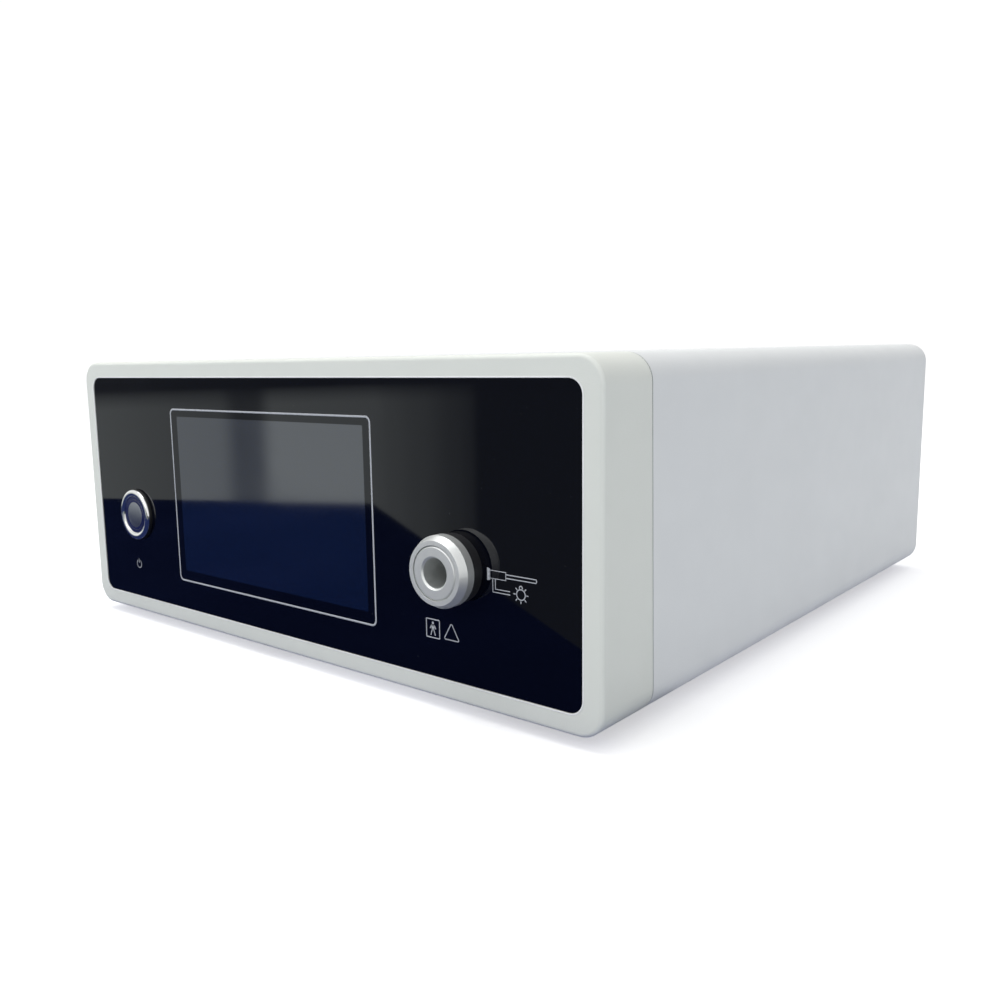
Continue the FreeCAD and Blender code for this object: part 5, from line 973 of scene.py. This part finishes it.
# %% What a camera or a mirror sees
def seen_directly(tree, unseen, seen):
    """One value for light that falls on the object, another for what a camera, mirror or lens sees."""
    path = tree.nodes.new("ShaderNodeLightPath")
    labels = ("Is Camera Ray", "Is Glossy Ray", "Is Transmission Ray")
    rays_seen = [path.outputs[label] for label in labels]
    return spread(tree, highest(tree, *rays_seen), unseen, seen, 0, 1)

# %% Surround
SURROUND_LIGHT, SURROUND_SEEN = 0.65, 1.03
world = bpy.data.worlds.new("surround")
bpy.context.scene.world = world
world.use_nodes = True
background = world.node_tree.nodes["Background"]
background.inputs["Color"].default_value = (1, 1, 1, 1)
wire(world.node_tree, seen_directly(world.node_tree, SURROUND_LIGHT, SURROUND_SEEN),
     background.inputs["Strength"])
print("surround: light", SURROUND_LIGHT, "seen as", SURROUND_SEEN)

# %% Floor, with a dark mat under the case that only the case's lowest edges can find
FLOOR_REACH = 12  # metres
FLOOR_GLOW = 0.47
FLOOR_COLOUR, BOUNCE_COLOUR, MAT_COLOUR = (0.86, 0.86, 0.87), (0.645, 0.68, 0.745), (0.05, 0.06, 0.30)
MAT_MARGIN, MAT_FADE = 3 * MM, 7 * MM
sleeve_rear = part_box("housing_sleeve")[1].y
mat_middle = (case_low.y * MM + sleeve_rear) / 2
mat_half = (sleeve_rear - case_low.y * MM) / 2 + MAT_MARGIN
floor_finish, floor_tree, floor_shader = finish("pale_floor", FLOOR_COLOUR, 0.9)
distance = vector_calculated(floor_tree, "ABSOLUTE", on_object(floor_tree, at=(0, mat_middle, 0)))
sides = floor_tree.nodes.new("ShaderNodeSeparateXYZ")
wire(floor_tree, distance.outputs["Vector"], sides.inputs["Vector"])
off_mat = highest(floor_tree, *(
    spread(floor_tree, sides.outputs[axis], 0, 1, half, half + MAT_FADE)
    for axis, half in (("X", cad_high.x + MAT_MARGIN), ("Y", mat_half))))
bounced = floor_tree.nodes.new("ShaderNodeLightPath").outputs["Is Diffuse Ray"]
thrown_back = blend_colours(floor_tree, off_mat, MAT_COLOUR, BOUNCE_COLOUR)
wire(floor_tree, blend_colours(floor_tree, bounced, FLOOR_COLOUR, thrown_back),
     floor_shader.inputs["Base Color"])
wire(floor_tree, relief(floor_tree, grain(floor_tree, 30, 2), 0.1), floor_shader.inputs["Normal"])
floor_shader.inputs["Emission Color"].default_value = (1, 1, 1, 1)
wire(floor_tree, seen_directly(floor_tree, 0.0, FLOOR_GLOW), floor_shader.inputs["Emission Strength"])
floor_points = [(x, y, 0) for x, y in rectangle(-FLOOR_REACH, -FLOOR_REACH, FLOOR_REACH, FLOOR_REACH)]
floor = new_piece("floor", floor_points, [(0, 1, 2, 3)], floor_finish, smooth=False)
print("floor: mat from the middle, mm:", round(mat_half / MM, 1))

# %% Sheets that only polished parts see
def mirror_only(name, outline, height_mm, material):
    sheet = new_piece(name, [(x * MM, y * MM, height_mm * MM) for x, y in outline],
                      [tuple(range(len(outline)))], material, smooth=False)
    sheet.visible_camera = sheet.visible_diffuse = sheet.visible_shadow = False
    sheet.visible_transmission = False
    print(name, "is seen only in polished parts")


def glow(name):
    """A black finish that shows only the colour wired to its emission."""
    material, tree, shader = finish(name, (0, 0, 0), 1.0)
    shader.inputs["Specular IOR Level"].default_value = 0
    shader.inputs["Emission Strength"].default_value = 1.0
    return material, tree, shader

# %% The bench top
BENCH_OUTLINE = [(-723, -150), (-560, -340), (-276, -483), (76, -257), (213, -169), (243, -150)]
bench, bench_tree, bench_shader = glow("dark_bench")
bench_grain = grain(bench_tree, 120, 2)
wire(bench_tree, mottled(bench_tree, bench_grain, (0.015, 0.024, 0.09), (0.022, 0.034, 0.125)),
     bench_shader.inputs["Emission Color"])
mirror_only("bench_top", BENCH_OUTLINE, 0.4, bench)

# %% The room, painted in sectors round the point that the front's mirror looks from
MIRROR_EYE = (CAMERA_AT.x, 2 * PANEL_FACE - CAMERA_AT.y, 0)
ROOM_OUTLINE = [(-11000, -11000), (400, -11000), (400, -130), (-1000, 0), (-11000, -1500)]
ROOM_FIRST_COLOUR, ROOM_FAR_COLOUR = (0.60, 0.64, 0.63), (0.10, 0.105, 0.105)
ROOM_TONES = ((0.26, 0.58), (0.295, 0.28), (0.325, 0.30), (0.36, 0.84), (0.54, 0.86), (0.57, 0.72),
              (0.62, 0.58), (0.69, 0.36), (0.715, 0.28), (0.735, 0.12), (0.90, 0.12), (1.0, 0.16))
ROOM_TINT = (0.94, 1, 0.98)
SECTOR_START, SECTOR_END = 0.075, 0.165  # of a full turn
FAR_START, FAR_END = 2.6, 4.2  # metres

room, room_tree, room_shader = glow("dim_room")
sector = room_tree.nodes.new("ShaderNodeTexGradient")
sector.gradient_type = "RADIAL"
wire(room_tree, on_object(room_tree, at=MIRROR_EYE), sector.inputs["Vector"])
across_room = spread(room_tree, sector.outputs["Fac"], 0, 1, SECTOR_START, SECTOR_END)
stops = [(0.0, ROOM_FIRST_COLOUR)]
stops += [(place, tuple(tone * part for part in ROOM_TINT)) for place, tone in ROOM_TONES]
room_colour = ramp(room_tree, across_room, stops, "EASE")
away = vector_calculated(room_tree, "LENGTH", on_object(room_tree, at=MIRROR_EYE))
far_off = spread(room_tree, away.outputs["Value"], 0, 1, FAR_START, FAR_END)
wire(room_tree, blend_colours(room_tree, far_off, room_colour, ROOM_FAR_COLOUR),
     room_shader.inputs["Emission Color"])
mirror_only("dim_room_floor", ROOM_OUTLINE, 0.2, room)

# %% Lamps
def soft_lamp(name, at, look_at, size, watts):
    """A round soft lamp; its place and its size are in metres."""
    lamp = bpy.data.lights.new(name, "AREA")
    lamp.shape, lamp.size, lamp.energy = "DISK", size, watts
    stand = placed(name, lamp)
    stand.location = at
    stand.rotation_euler = (Vector(look_at) - Vector(at)).to_track_quat("-Z", "Y").to_euler()
    print(name, "gives", watts, "W from", at)


soft_lamp("lamp_above", at=(-0.35, -0.15, 1.6), look_at=(0, 0, 0.06), size=1.3, watts=12.0)
soft_lamp("lamp_front", at=(-0.35, -1.5, 0.75), look_at=(0, -0.16, 0.06), size=1.0, watts=3.6)
